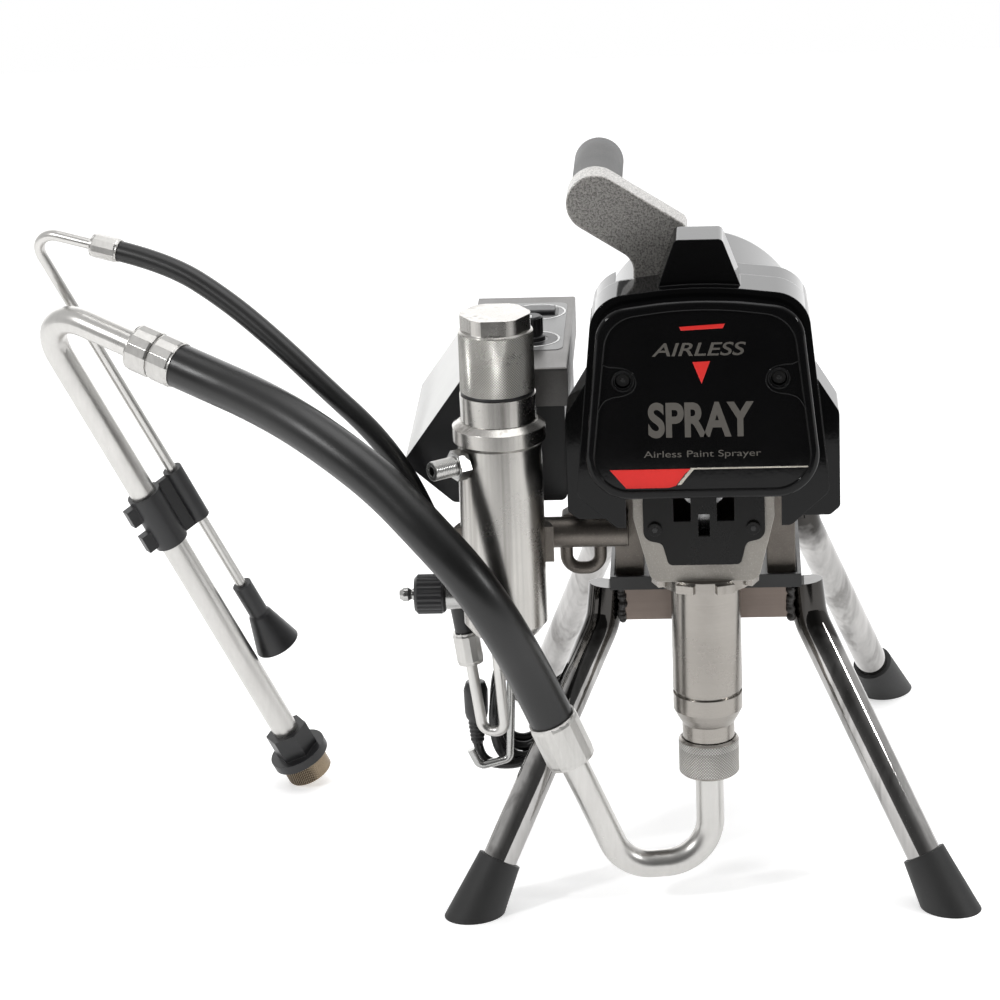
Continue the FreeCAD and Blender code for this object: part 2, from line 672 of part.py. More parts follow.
def shaft_bearings():
    gap = float(BORE_EXTRA)
    wall = float(S.case_wall)
    rings = [ring_on(at_y(CRANK_AXIS, HOUSING_WALL_Y), BACK, CRANK_BEARING_RADIUS,
                     float(S.crank_shaft_radius) + gap, 10.0),
             ring_on(at_y(CRANK_AXIS, BACK_INNER_Y), BACK, CRANK_STUB_BEARING, CRANK_STUB_RADIUS + gap, wall),
             ring_on(at_y(MOTOR_AXIS, BACK_INNER_Y), BACK, MOTOR_BEARING_RADIUS,
                     float(S.shaft_radius) + gap, wall)]
    node("shaft_bearings", feature("ShaftBearings", Part.makeCompound(rings)))


# ---------------------------------------------------------------- pump

PIN_Z = S.crank_z - S.crank_throw
WRIST_Z = PIN_Z - 36
CRANK_PIN_RADIUS = 8.0
WRIST_PIN_RADIUS = 4.0
ROD_TOP = WRIST_Z + 9
VALVE_BOTTOM = S.nut_bottom + 10
NUT_WEB = 7.0
PISTON_Z = S.pump_bottom + 28


def connecting_rod():
    big = bar(17.0, V(0, -ROD_HALF, float(PIN_Z)), V(0, ROD_HALF, float(PIN_Z)))
    web = block((-7, -ROD_HALF, WRIST_Z), (7, ROD_HALF, PIN_Z))
    small = bar(13.0, V(0, -ROD_HALF, float(WRIST_Z)), V(0, ROD_HALF, float(WRIST_Z)))
    shape = big.fuse([web, small])
    shape = shape.cut(bar(CRANK_PIN_RADIUS, V(0, -ROD_HALF - 1, float(PIN_Z)), V(0, ROD_HALF + 1, float(PIN_Z))))
    shape = shape.cut(bar(WRIST_PIN_RADIUS, V(0, -ROD_HALF - 1, float(WRIST_Z)), V(0, ROD_HALF + 1, float(WRIST_Z))))
    # the socket that takes the piston rod's head
    shape = shape.cut(bar(S.rod_radius, V(0, 0, float(WRIST_Z) - 15), V(0, 0, float(ROD_TOP))))
    node("connecting_rod", feature("ConnectingRod", shape.removeSplitter()))
    pins = [bar(CRANK_PIN_RADIUS, V(0, -ROD_HALF, float(PIN_Z)), V(0, CRANK_DISC_Y - float(S.side_gap), float(PIN_Z))),
            bar(WRIST_PIN_RADIUS, V(0, -ROD_HALF, float(WRIST_Z)), V(0, ROD_HALF, float(WRIST_Z)))]
    node("rod_pins", feature("RodPins", Part.makeCompound(pins)))


def piston_rod():
    piston = S.pump_bore - S.running_gap
    profile = [(0, PISTON_Z), (piston, PISTON_Z), (piston, PISTON_Z + 10), (S.rod_radius, PISTON_Z + 10),
               (S.rod_radius, ROD_TOP), (0, ROD_TOP)]
    shank = place(turned("PistonShank", profile), 0, 0, 0)
    hole = rod("WristHole", WRIST_PIN_RADIUS, S.rod_radius * 2 + 4, 0, -S.rod_radius - 2, WRIST_Z, BACK)
    node("piston_rod", cut("PistonRod", shank, hole))


def jam_nut():
    top = float(S.pump_shoulder)
    start = V(0, 0, top - 8)
    shape = ring_on(start, UP, 34.0, S.pump_radius, 8)
    for i in range(8):
        lug = Part.makeBox(6, 13, 6, V(32, -6.5, top - 7))
        lug.rotate(V(0, 0, 0), UP, 22.5 + 45.0 * i)
        shape = shape.fuse(lug)
    node("jam_nut", feature("JamNut", shape.removeSplitter()))


def pump():
    bore = S.pump_bore
    neck = S.pump_neck
    top = S.pump_shoulder + 17
    cylinder = [(bore, S.pump_bottom), (S.pump_radius, S.pump_bottom), (S.pump_radius, S.pump_shoulder),
                (neck, S.pump_shoulder), (neck, top), (bore, top)]
    node("pump_cylinder", place(turned("PumpCylinder", cylinder)))
    seal = S.rod_radius + S.running_gap
    rings = []
    for low, high in ((65.0, 82.0), (83.0, 104.0)):
        start = V(0, 0, float(S.pump_bottom) + low)
        rings.append(ring_on(start, UP, bore, seal, high - low))
    node("pump_packings", feature("PumpPackings", Part.makeCompound(rings)))
    valve = [(S.seat_radius, VALVE_BOTTOM), (S.spigot_radius, VALVE_BOTTOM), (S.spigot_radius, S.valve_shoulder),
             (18.5, S.valve_shoulder), (18.5, S.valve_shoulder + 11), (S.valve_radius - 2.5, S.valve_shoulder + 17),
             (S.valve_radius, S.valve_shoulder + 22), (S.valve_radius, S.pump_bottom - 3),
             (S.valve_radius - 2, S.pump_bottom - 3), (S.valve_radius - 2, S.pump_bottom), (12.0, S.pump_bottom),
             (12.0, S.valve_shoulder + 8), (S.seat_radius, S.valve_shoulder + 8)]
    node("intake_valve", place(turned("IntakeValve", valve)))
    ball = doc.addObject("Part::Sphere", "IntakeBall")
    bind(ball, "Radius", S.ball_radius)
    sunk = math.sqrt(float(S.ball_radius) ** 2 - float(S.seat_radius) ** 2)
    node("intake_ball", place(ball, 0, 0, S.valve_shoulder + 8 + sunk + 0.05))
    nut_top = S.valve_shoulder - S.side_gap
    web_top = S.nut_bottom + NUT_WEB
    nut = [(S.pipe_radius + 0.4, S.nut_bottom), (S.nut_radius - 1.5, S.nut_bottom), (S.nut_radius, S.nut_bottom + 1.5),
           (S.nut_radius, nut_top - 1.5), (S.nut_radius - 1.5, nut_top), (S.spigot_radius + S.running_gap, nut_top),
           (S.spigot_radius + S.running_gap, web_top), (S.pipe_radius + 0.4, web_top)]
    node("coupling_nut", place(turned("CouplingNut", nut)))


# ---------------------------------------------------------------- suction and drain sets



def beyond(points, distance):
    """The point a distance past the end of a line of points, straight on."""
    run = (points[-1] - points[-2]).normalize()
    return points[-1] + run * distance


ELBOW = [V(0, 0, float(VALVE_BOTTOM) - 0.05), V(0, 0, 30), V(-62, -11, 30), V(-97, -24, 119)]
LOWER_FERRULE_END = beyond(ELBOW, 36)
HOSE = [LOWER_FERRULE_END, beyond(ELBOW, 76), V(-142, -56, 234), V(-163, -59, 270), V(-191, -47.5, 299),
        V(-220, -28.5, 325), V(-252, -10.5, 346), V(-284.5, 11.6, 362), V(-317, 37, 372), V(-345, 55.7, 379),
        V(-371, 69, 387)]
UPPER_FERRULE_END = beyond(HOSE, 38)
STRAINER_HEX = 20.0
STRAINER_RIM = 7.0
STRAINER_CUP = 16.0
PIPE_KNEE = beyond(HOSE, 137)
STRAINER_SPOT = V(-312, 229, 0)


def pipe_end():
    """Where the suction pipe meets the strainer, whose cup stands on the floor on one edge."""
    along = (STRAINER_SPOT - PIPE_KNEE).normalize()
    lift = float(S.strainer_radius) * math.sqrt(1 - along.z ** 2)
    return STRAINER_SPOT + UP * lift - along * (STRAINER_HEX + STRAINER_RIM + STRAINER_CUP)


PIPE = [UPPER_FERRULE_END, PIPE_KNEE, pipe_end()]
THIN_HOSE = [V(-172, 26, 198), V(-176, 27, 228), V(-189, 28, 268), V(-207, 28, 312), V(-231, 31, 347),
             V(-264, 42, 376), V(-298, 59, 405), V(-335, 78, 432), V(-377, 96, 455), V(-414, 107, 462)]
THIN_LOWER_FERRULE_START = beyond(THIN_HOSE[1::-1], 24)
THIN_UPPER_FERRULE_END = beyond(THIN_HOSE, 21)
THIN_PIPE = [THIN_UPPER_FERRULE_END, beyond(THIN_HOSE, 75), V(-348, 213, 156)]


def suction_set():
    elbow = bent_tube(ELBOW, S.pipe_bend, S.pipe_radius, S.pipe_radius - 1.5)
    start = V(0, 0, float(S.nut_bottom + NUT_WEB) + 0.05)
    collar = ring_on(start, UP, S.spigot_radius - 0.5, S.pipe_radius - 1.5, ELBOW[0].z - start.z)
    node("suction_elbow", feature("SuctionElbow", elbow.fuse(collar).removeSplitter()))
    ferrules = []
    for start, end, radius in ((ELBOW[-1], LOWER_FERRULE_END, 17.2), (HOSE[-1], UPPER_FERRULE_END, 16.6)):
        run = end - start
        shell = bar(radius, start, end)
        groove = ring_on(start + run * 0.44, run, radius + 1, radius - 1.2, run.Length * 0.12)
        ferrules.append(shell.cut(groove))
    node("suction_ferrules", feature("SuctionFerrules", Part.makeCompound(ferrules)))
    node("suction_hose", cord("SuctionHose", HOSE, S.hose_radius))
    pipe = bent_tube(PIPE, S.pipe_bend, S.pipe_radius, S.pipe_radius - 1.5)
    node("suction_pipe", feature("SuctionPipe", pipe))


def strainer():
    along = (PIPE[-1] - PIPE[-2]).normalize()
    top = PIPE[-1]
    rim = top + along * STRAINER_HEX
    hexagon = doc.addObject("Part::Prism", "StrainerHex")
    hexagon.Polygon = 6
    hexagon.Circumradius = 17.0
    hexagon.Height = STRAINER_HEX
    place(hexagon, top.x, top.y, top.z, along)
    flange = rod("StrainerRim", 22.5, STRAINER_RIM, rim.x, rim.y, rim.z, along)
    passage = rod("StrainerBore", S.pipe_radius - 1.5, STRAINER_HEX + STRAINER_RIM, top.x, top.y, top.z, along)
    node("strainer_body", cut("StrainerBody", joined("StrainerSolid", hexagon, flange), passage))
    seat = rim + along * STRAINER_RIM
    radius = float(S.strainer_radius)
    outside = bar(radius, seat, seat + along * STRAINER_CUP)
    inside = bar(radius - 1.2, seat, seat + along * (STRAINER_CUP - 1.2))
    node("strainer_mesh", feature("StrainerMesh", outside.cut(inside)))


def drain_set():
    radius = S.thin_pipe_radius
    bottom = beyond(THIN_HOSE[1::-1], 76).z
    lower = [THIN_LOWER_FERRULE_START, beyond(THIN_HOSE[1::-1], 76), V(-146, 19, bottom),
             V(-150, 12, float(S.manifold_bottom))]
    node("drain_tube", feature("DrainTube", bent_tube(lower, 7.5, radius, radius - 1)))
    ferrules = [bar(9.0, THIN_LOWER_FERRULE_START, THIN_HOSE[0]), bar(8.2, THIN_HOSE[-1], THIN_UPPER_FERRULE_END)]
    node("drain_ferrules", feature("DrainFerrules", Part.makeCompound(ferrules)))
    node("drain_hose", cord("DrainHose", THIN_HOSE, S.thin_hose_radius))
    node("drain_pipe", feature("DrainPipe", bent_tube(THIN_PIPE, 16, radius, radius - 1)))
    along = (THIN_PIPE[-1] - THIN_PIPE[-2]).normalize()
    end = THIN_PIPE[-1]
    profile = [(radius, -16.0), (7.5, -16.0), (7.5, 12.0), (9.0, 14.0), (17.5, 44.0), (15.5, 44.0),
               (7.0, 17.0), (radius, 14.0)]
    node("drain_deflector", place(turned("DrainDeflector", profile), end.x, end.y, end.z, along))


def point_at_height(points, height):
    """The point of a straight pipe's last run at a height."""
    start, end = points[-2], points[-1]
    share = (height - start.z) / (end.z - start.z)
    return start + (end - start) * share


def tube_clip():
    along = (PIPE[-1] - PIPE[-2]).normalize()
    length = 46.0
    middle = point_at_height(PIPE, 238)
    nearby = point_at_height(THIN_PIPE, 252)
    offset = nearby - middle
    offset = offset - along * offset.dot(along)
    thin_along = (THIN_PIPE[-1] - THIN_PIPE[-2]).normalize()
    big = S.pipe_radius
    small = S.thin_pipe_radius
    start = middle - along * (length / 2)
    reach = offset.Length
    web = Part.makeBox(reach, 5.0, length, V(0, -2.5, 0))
    lug = Part.makeBox(9.0, 8.0, 14.0, V(-float(big) - 10, -4, 4))
    other_lug = lug.copy()
    other_lug.translate(V(0, 0, 24))
    across = V(offset).normalize()
    frame = FreeCAD.Placement(start, FreeCAD.Rotation(across, along.cross(across), along, "XZY"))
    shape = web.fuse([lug, other_lug])
    shape.Placement = frame
    shape = shape.fuse([bar(big + 3, start, start + along * length),
                        bar(small + 3.5, nearby - along * (length / 2), nearby + along * (length / 2))])
    shape = shape.cut(bar(big, start - along * 40, start + along * (length + 40)))
    shape = shape.cut(bar(small, nearby - thin_along * 70, nearby + thin_along * 70))
    node("tube_clip", feature("TubeClip", shape.removeSplitter()))


# ---------------------------------------------------------------- filter manifold

OUTLET_WAY = V(-math.cos(math.radians(S.outlet_angle)), -math.sin(math.radians(S.outlet_angle)), 0)
CAP_BOTTOM = S.collar_top + 0.3
HEX_BOTTOM = S.cap_top - 11


def manifold():
    body = S.manifold_radius
    bore = S.manifold_bore
    low = S.manifold_bottom
    top = S.collar_top
    profile = [(0, low), (body - 6, low), (body, low + 8), (body, top - 36), (body + 3, top - 33),
               (body + 3, top - 23), (body - 2, top - 19), (body - 3, top - 19), (body - 3, top), (bore, top),
               (bore, low + 8), (0, low + 8)]
    x = S.manifold_x
    shell = place(turned("ManifoldShell", profile), x)
    outlet = rod("OutletHole", S.outlet_radius, body + 2, x, 0, S.outlet_z, OUTLET_WAY)
    prime = rod("PrimeHole", 8.0, body + 2, x, 0, S.prime_z, LEFT)
    drain = rod("DrainHole", S.thin_pipe_radius - 1, 10.0, -150.0, 12.0, low - 1)
    node("manifold_body", cut("ManifoldBody", shell, outlet, prime, drain))
    cap = S.cap_radius
    plug = bore - S.running_gap
    lid = [(0, CAP_BOTTOM - 12), (plug, CAP_BOTTOM - 12), (plug, CAP_BOTTOM), (cap - 1, CAP_BOTTOM),
           (cap, CAP_BOTTOM + 1), (cap, HEX_BOTTOM - 1), (cap - 1, HEX_BOTTOM), (0, HEX_BOTTOM)]
    crown = doc.addObject("Part::Prism", "CapHex")
    crown.Polygon = 6
    crown.Circumradius = 26.5
    bind(crown, "Height", S.cap_top - HEX_BOTTOM)
    place(crown, x, 0, HEX_BOTTOM)
    trim = rod("CapRound", cap - 1, S.cap_top - HEX_BOTTOM, x, 0, HEX_BOTTOM)
    top_piece = doc.addObject("Part::Common", "CapCrown")
    top_piece.Base = crown
    top_piece.Tool = trim
    node("manifold_cap", joined("ManifoldCap", place(turned("CapBody", lid), x), top_piece))
    element = [(10.0, low + 8), (14.0, low + 8), (14.0, CAP_BOTTOM - 12.5), (10.0, CAP_BOTTOM - 12.5)]
    node("filter_element", place(turned("FilterElement", element), x))


def outlet_fitting():
    start = float(S.manifold_bore) + 3
    face = float(S.manifold_radius) + 0.5
    profile = [(S.outlet_bore, start), (S.outlet_radius, start), (S.outlet_radius, face), (9.0, face),
               (9.0, face + 9), (S.outlet_radius, face + 9), (S.outlet_radius, face + 9 + S.outlet_thread),
               (S.outlet_bore, face + 9 + S.outlet_thread)]
    shank = place(turned("OutletShank", profile), S.manifold_x, 0, S.outlet_z, OUTLET_WAY)
    hexagon = doc.addObject("Part::Prism", "OutletHex")
    hexagon.Polygon = 6
    hexagon.Circumradius = 11.0
    hexagon.Height = 8.0
    spot = V(float(S.manifold_x), 0, float(S.outlet_z)) + OUTLET_WAY * (face + 0.5)
    place(hexagon, spot.x, spot.y, spot.z, OUTLET_WAY)
    hole = rod("OutletThrough", S.outlet_radius, 12.0, spot.x, spot.y, spot.z, OUTLET_WAY)
    node("outlet_fitting", joined("OutletFitting", shank, cut("OutletHexRing", hexagon, hole)))


def prime_valve():
    body = float(S.manifold_radius)
    stem = 4.0
    profile = [(0, 20.0), (8.0, 20.0), (8.0, body), (11.0, body + 0.5), (11.0, body + 12), (stem, body + 12),
               (stem, body + 36), (3.0, body + 36), (5.0, body + 39), (5.0, body + 42), (3.0, body + 45), (0, body + 45)]
    node("prime_valve", place(turned("PrimeValve", profile), S.manifold_x, 0, S.prime_z, LEFT))
    bore = stem + float(S.running_gap)
    radius = S.prime_knob_radius
    low = body + 12.3
    knob = [(bore, low), (radius - 1.5, low), (radius, low + 1.5), (radius, low + 20), (radius - 2, low + 22),
            (bore, low + 22)]
    node("prime_knob", place(turned("PrimeKnob", knob), S.manifold_x, 0, S.prime_z, LEFT))


# ---------------------------------------------------------------- control box

BOX_BACK = S.box_front_y + S.box_depth
COVER_TOP = S.box_top + S.cover_sheet
SWITCH = (25.0, 15.0)


def control_box():
    wall = float(S.box_wall)
    points = [(S.box_right - 3, S.box_top, 0), (S.box_left, S.box_top, 3), (S.box_belly, 318, 4),
              (S.box_left - 12, S.box_bottom, 5), (S.box_right - 3, S.box_bottom, 5)]
    outside = slab(points, S.box_front_y, BOX_BACK)
    cavity_points = [(S.box_right - 3 - wall, S.box_top + 2, 0), (S.box_left + 2, S.box_top + 2, 0),
                     (S.box_left + 2, S.box_top - 4, 0), (S.box_belly + wall + 2, 318.5, 3),
                     (S.box_left - 11, S.box_bottom + wall, 3), (S.box_right - 3 - wall, S.box_bottom + wall, 3)]
    shape = outside.cut(slab(cavity_points, S.box_front_y + wall, BOX_BACK - wall))
    # two lugs bolt the box to the gear housing's side
    for z in (292.0, 320.0):
        shape = shape.fuse(block((S.box_right - 4, 64, z), (-S.case_half_width, 80, z + 12)))
    gland = V(-142, 66, float(S.box_bottom))
    shape = shape.cut(bar(7.0, gland - UP, gland + UP * 8))
    node("control_box", feature("ControlBox", shape.removeSplitter()))


def control_cover():
    sheet_width = float(S.cover_sheet)
    skirt = 28.0
    left = S.box_left
    right = float(S.box_right)
    front = float(S.box_front_y) - 2.5
    back = float(BOX_BACK) + 2.5
    top = float(COVER_TOP)
    shape = block((left, front, top - sheet_width), (right, back, top))
    shape = shape.fuse([block((left, front, top - skirt), (right, front + 2.2, top)),
                        block((left, back - 2.2, top - skirt), (right, back, top)),
                        block((right - 2.7, front, top - skirt), (right, back, top))]).removeSplitter()
    upright = [e for e in shape.Edges if abs(e.tangentAt(e.FirstParameter).x) > 0.99
               and abs(e.CenterOfMass.z - top) < 1e-6]
    side = [e for e in shape.Edges if abs(e.tangentAt(e.FirstParameter).y) > 0.99
            and abs(e.CenterOfMass.z - top) < 1e-6 and abs(e.CenterOfMass.x - right) < 1e-6]
    shape = shape.makeFillet(2.0, upright + side)
    knob = V(float(S.knob_x), float(S.knob_y), top)
    shape = shape.cut(bar(4.5, knob - UP * 6, knob + UP * 2))
    half_x, half_y = SWITCH[0] / 2 + 0.4, SWITCH[1] / 2 + 1
    centre_x, centre_y = float(S.switch_x), float(S.switch_y)
    shape = shape.cut(block((centre_x - half_x, centre_y - half_y, top - 6),
                            (centre_x + half_x, centre_y + half_y, top + 2)))
    node("control_cover", feature("ControlCover", shape))


def control_board():
    low = float(S.box_bottom + S.box_wall)
    board_z = low + 12
    shape = block((-160, 70, board_z), (-106, 214, board_z + 2))
    for x in (-154.0, -112.0):
        for y in (76.0, 208.0):
            shape = shape.fuse(bar(3.5, V(x, y, low), V(x, y, board_z)))
    knob = V(float(S.knob_x), float(S.knob_y), board_z + 2)
    dial = bar(10.0, knob, knob + UP * 22).fuse(bar(3.0, knob, V(knob.x, knob.y, float(COVER_TOP) + 14)))
    switch = block((S.switch_x - 11, S.switch_y - 6, board_z + 2), (S.switch_x + 11, S.switch_y + 6, S.box_top - 8))
    node("control_board", feature("ControlBoard", shape.fuse([dial, switch]).removeSplitter()))


def pressure_knob():
    bore = 3.0 + float(S.running_gap)
    profile = [(bore, 0.4), (10.0, 0.4), (9.4, 3.0), (8.0, 3.8), (7.6, 17.0), (6.6, 18.0), (0, 18.0), (0, 14.5),
               (bore, 14.5)]
    node("pressure_knob", place(turned("PressureKnob", profile), S.knob_x, S.knob_y, COVER_TOP))


def power_switch():
    half_x, half_y = SWITCH[0] / 2, SWITCH[1] / 2
    shape = block((S.switch_x - half_x, S.switch_y - half_y, COVER_TOP - 6),
                  (S.switch_x + half_x, S.switch_y + half_y, COVER_TOP + 3.5))
    ends = [e for e in shape.Edges if abs(e.tangentAt(e.FirstParameter).x) > 0.99]
    shape = shape.makeFillet(2.0, ends)
    # the round pivot under the rocker
    pivot = V(float(S.switch_x), float(S.switch_y), float(COVER_TOP) - 4)
    drum = bar(5.5, pivot - V(half_x, 0, 0), pivot + V(half_x, 0, 0))
    node("power_switch", feature("PowerSwitch", shape.fuse(drum).removeSplitter()))


# ---------------------------------------------------------------- hood, shroud and handle

def tapered(foot_half, top_half, bottom, top, foot_radius):
    """An upright outline that narrows upward to rounded shoulders and a low crown."""
    foot, half, bottom, top = float(foot_half), float(top_half), float(bottom), float(top)
    return [(-foot, bottom, foot_radius), (-half, top - 9, 24), (0, top, 4 * half), (half, top - 9, 24),
            (foot, bottom, foot_radius)]


def mirrored(points):
    """An outline made from its left half, the last point standing on the middle line."""
    return points + [(-x, z, r) for x, z, r in reversed(points[:-1])]


def front_hood():
    half = float(S.hood_half_width)
    wing = float(S.wing_half_width)
    wall = float(S.hood_wall)
    front = float(S.hood_front_y)
    wing_front = float(S.wing_front_y)
    back = float(S.hood_back_y)
    bottom = float(S.hood_bottom)
    top = float(S.hood_top)
    fall = float(S.wing_top)
    bonnet = slab(mirrored([(-60, bottom, 6), (-half, bottom + 24, 8), (-73, top - 9, 26), (0, top, 292)]),
                  front, wing_front)
    wings = slab(mirrored([(7 - wing, bottom - 6, 4), (-wing, bottom, 5), (-wing, fall, 8), (16 - wing, fall + 26, 10),
                           (-73, top - 13, 26), (0, top - 4, 292)]), wing_front, back)
    bonnet_room = slab(mirrored([(-58, bottom - 10, 0), (-58, bottom + 2, 3), (wall - half, bottom + 25.5, 6),
                                 (wall - 73, top - 12, 23), (0, top - wall, 289)]), front + wall, wing_front + 4)
    wing_room = slab(mirrored([(11 - wing, bottom - 16, 0), (11 - wing, bottom - 4, 3), (wall - wing, bottom + 2.3, 4),
                               (wall - wing, fall - 1, 6), (16 + wall - wing, fall + 25, 8), (wall - 73, top - 16, 23),
                               (0, top - 4 - wall, 289)]), wing_front + wall, back + 1)
    # the scoop on the crown
    nose = slab([(-30, top - 9, 0), (30, top - 9, 0), (16, top + 29, 4), (-16, top + 29, 4)], front + 9, wing_front + 6)
    shape = bonnet.fuse([wings, nose]).cut(bonnet_room).cut(wing_room)
    # room for the bearing housing and its guard
    shape = shape.cut(block((-53.5, front - 1, bottom - 6), (53.5, front + wall + 1, float(S.crank_z) + 6)))
    # two bosses stand on the bearing housing's face
    for x in (-42.0, 42.0):
        shape = shape.fuse(bar(5.0, V(x, front + wall - 0.5, 354), V(x, HOUSING_FRONT_Y, 354)))
    # two cooling slots in the left wing
    for z in (318.0, 342.0):
        shape = shape.cut(block((-wing - 1, 12, z), (-wing + wall + 1, 30, z + 14)))
    # pocket for the handle's foot
    shape = shape.cut(block((-58, float(S.arm_front_y) - 1.5, 440), (-3, back + 1, top + 20)))
    # screw holes
    for x, z in cover_screw_places():
        shape = shape.cut(bar(2.0, V(x, front - 1, z), V(x, front + wall + 1, z)))
    node("front_hood", feature("FrontHood", shape.removeSplitter()))


def cover_screw_places():
    level = float(S.front_bottom) + 85
    return [(-53.0, level), (53.0, level)]


def front_cover():
    foot = float(S.front_half_width)
    half = float(S.front_top_half)
    back = float(S.hood_front_y)
    front = back - float(S.front_depth)
    bottom = float(S.front_bottom)
    top = float(S.front_top)
    rim = 6.0
    outside = slab(tapered(foot, half, bottom, top, 30), front, back)
    edges = [e for e in outside.Edges if abs(e.CenterOfMass.y - front) < 1e-6]
    outside = outside.makeFillet(3.0, edges)
    panel = slab(tapered(foot - rim, half - rim, bottom + rim, top - rim, 25), front - 1, front + 2.2)
    hollow = slab(tapered(foot - 3, half - 3, bottom + 3, top - 3, 27), front + 5.5, back + 1)
    shape = outside.cut(panel).cut(hollow)
    for x, z in cover_screw_places():
        boss = bar(8.0, V(x, front + 4, z), V(x, back, z))
        shape = shape.fuse(boss).cut(bar(5.5, V(x, front - 1, z), V(x, front + 7, z)))
        shape = shape.cut(bar(2.0, V(x, front, z), V(x, back + 1, z)))
    node("front_cover", feature("FrontCover", shape.removeSplitter()))


def panel_screws():
    screws = []
    for places, seat, reach in ((guard_screw_places(), HOUSING_FRONT_Y - 2.5, 9.0),
                                (cover_screw_places(), float(S.hood_front_y) - 5, 8.0)):
        for x, z in places:
            head = bar(4.6, V(x, seat - 2.6, z), V(x, seat, z))
            shank = bar(2.0, V(x, seat, z), V(x, seat + reach, z))
            screws.append(head.fuse(shank).removeSplitter())
    node("panel_screws", feature("PanelScrews", Part.makeCompound(screws)))


def motor_shroud():
    radius = float(S.shroud_radius)
    centre = float(MOTOR_Z)
    wall = float(S.hood_wall)
    front = float(S.shroud_front_y)
    back = front + float(S.shroud_length)
    low = float(S.shroud_bottom)

    def shell(inset, drop, y_front, y_back):
        r = radius - inset
        side = math.sqrt(0.5) * r
        foot = low - drop
        sides = [Part.LineSegment(V(-r, y_front, foot), V(-r, y_front, centre)).toShape(),
                 Part.Arc(V(-r, y_front, centre), V(-side, y_front, centre + side),
                          V(0, y_front, centre + r)).toShape(),
                 Part.Arc(V(0, y_front, centre + r), V(side, y_front, centre + side),
                          V(r, y_front, centre)).toShape(),
                 Part.LineSegment(V(r, y_front, centre), V(r, y_front, foot)).toShape(),
                 Part.LineSegment(V(r, y_front, foot), V(-r, y_front, foot)).toShape()]
        return Part.Face(Part.Wire(sides)).extrude(V(0, y_back - y_front, 0))

    outside = shell(0, 0, front, back)
    edges = [e for e in outside.Edges if abs(e.CenterOfMass.y - back) < 1e-6 and e.CenterOfMass.z > low + 1]
    outside = outside.makeFillet(22.0, edges)
    shape = outside.cut(shell(wall, 5, front - 1, back - 22)).cut(shell(16, 5, front, back - wall))
    # two inner pads seat the shroud on the gear housing's sides
    for side in (-1, 1):
        near, far = sorted((side * float(S.case_half_width), side * (radius - wall + 0.5)))
        shape = shape.fuse(block((near, 62, low + 8), (far, 78, low + 20)))
    # air slots in the rear face
    for i in range(6):
        z = centre - 28 + 12 * i
        shape = shape.cut(block((-34, back - 12, z), (34, back + 1, z + 5)))
    node("motor_shroud", feature("MotorShroud", shape.removeSplitter()))


def handle():
    centre = V(float(S.grip_x), 0, float(S.grip_z))
    radius = float(S.arm_radius)
    along = V(-0.84, 0, 0.5426).normalize()
    across = V(along.z, 0, -along.x)
    tip_up = centre + along * radius + across * radius
    tip_down = centre + along * radius - across * radius
    knee_up = centre - along * 62 + across * radius
    knee_down = centre - along * 43 - across * radius
    foot = float(S.case_top)
    front = float(S.arm_front_y)
    back = front + float(S.arm_depth)
    full = radius - 0.1
    arm = slab([(tip_up.x, tip_up.z, full), (knee_up.x, knee_up.z, 8), (-8, 466, 8), (-14, foot, 0), (-46, foot, 0),
                (knee_down.x, knee_down.z, 14), (tip_down.x, tip_down.z, full)], front, back)
    edges = [e for e in arm.Edges if abs(e.CenterOfMass.y - front) < 1e-6 and e.CenterOfMass.z > foot + 5]
    arm = arm.makeFillet(1.5, edges)
    pad = block((-46, front + 6, foot), (-14, float(CASE_BACK) - 6, foot + 9))
    core = bar(8.0, V(centre.x, back - 1, centre.z), V(centre.x, back + float(S.grip_length) - 5.3, centre.z))
    node("handle_bracket", feature("HandleBracket", arm.fuse([pad, core]).removeSplitter()))
    length = S.grip_length
    grip = S.grip_radius
    profile = [(8.0, 0), (grip - 1, 0), (grip, 1.0), (grip, length - 5), (grip - 5, length), (0, length),
               (0, length - 5), (8.0, length - 5)]
    node("handle_grip", place(turned("HandleGrip", profile), S.grip_x, S.arm_front_y + S.arm_depth + 0.3, S.grip_z,
                              BACK))


# ---------------------------------------------------------------- power cord

GLAND_FOOT = V(-142, 66, 262)
CORD = [GLAND_FOOT, V(-142, 65, 243), V(-139, 60, 222), V(-136, 53, 201), V(-135, 50, 180)]
HANK_TOP = CORD[-1].z
HANK_BOTTOM = 84.0
HANK_FRONT_Y = 38.0
HANK_DEPTH = 36.0


def cord_gland():
    top = float(S.box_bottom + S.box_wall) + 2
    foot = float(GLAND_FOOT.z)
    box_low = float(S.box_bottom)
    profile = [(0, foot), (5.0, foot), (6.0, box_low - 3), (9.5, box_low - 3), (9.5, box_low), (7.0, box_low),
               (7.0, top), (0, top)]
    node("cord_gland", place(turned("CordGland", profile), GLAND_FOOT.x, GLAND_FOOT.y))


def power_cord():
    node("power_cord", cord("PowerCord", CORD, S.cord_radius))
    left, right = -159.0, -113.0
    hank = slab([(left, HANK_BOTTOM, 22), (left, HANK_TOP - 6, 14), (-146, HANK_TOP, 6), (-126, HANK_TOP, 6),
                 (right, HANK_TOP - 10, 12), (right, HANK_BOTTOM, 22)], HANK_FRONT_Y, HANK_FRONT_Y + HANK_DEPTH)
    node("cord_hank", feature("CordHank", hank))
    plug = [(0, 104.0), (4.0, 104.0), (5.5, 120.0), (8.0, 124.0), (8.5, 146.0), (6.5, 152.0), (0, 152.0)]
    node("power_plug", place(turned("PowerPlug", plug), left - 8.8, HANK_FRONT_Y + 8, 0))


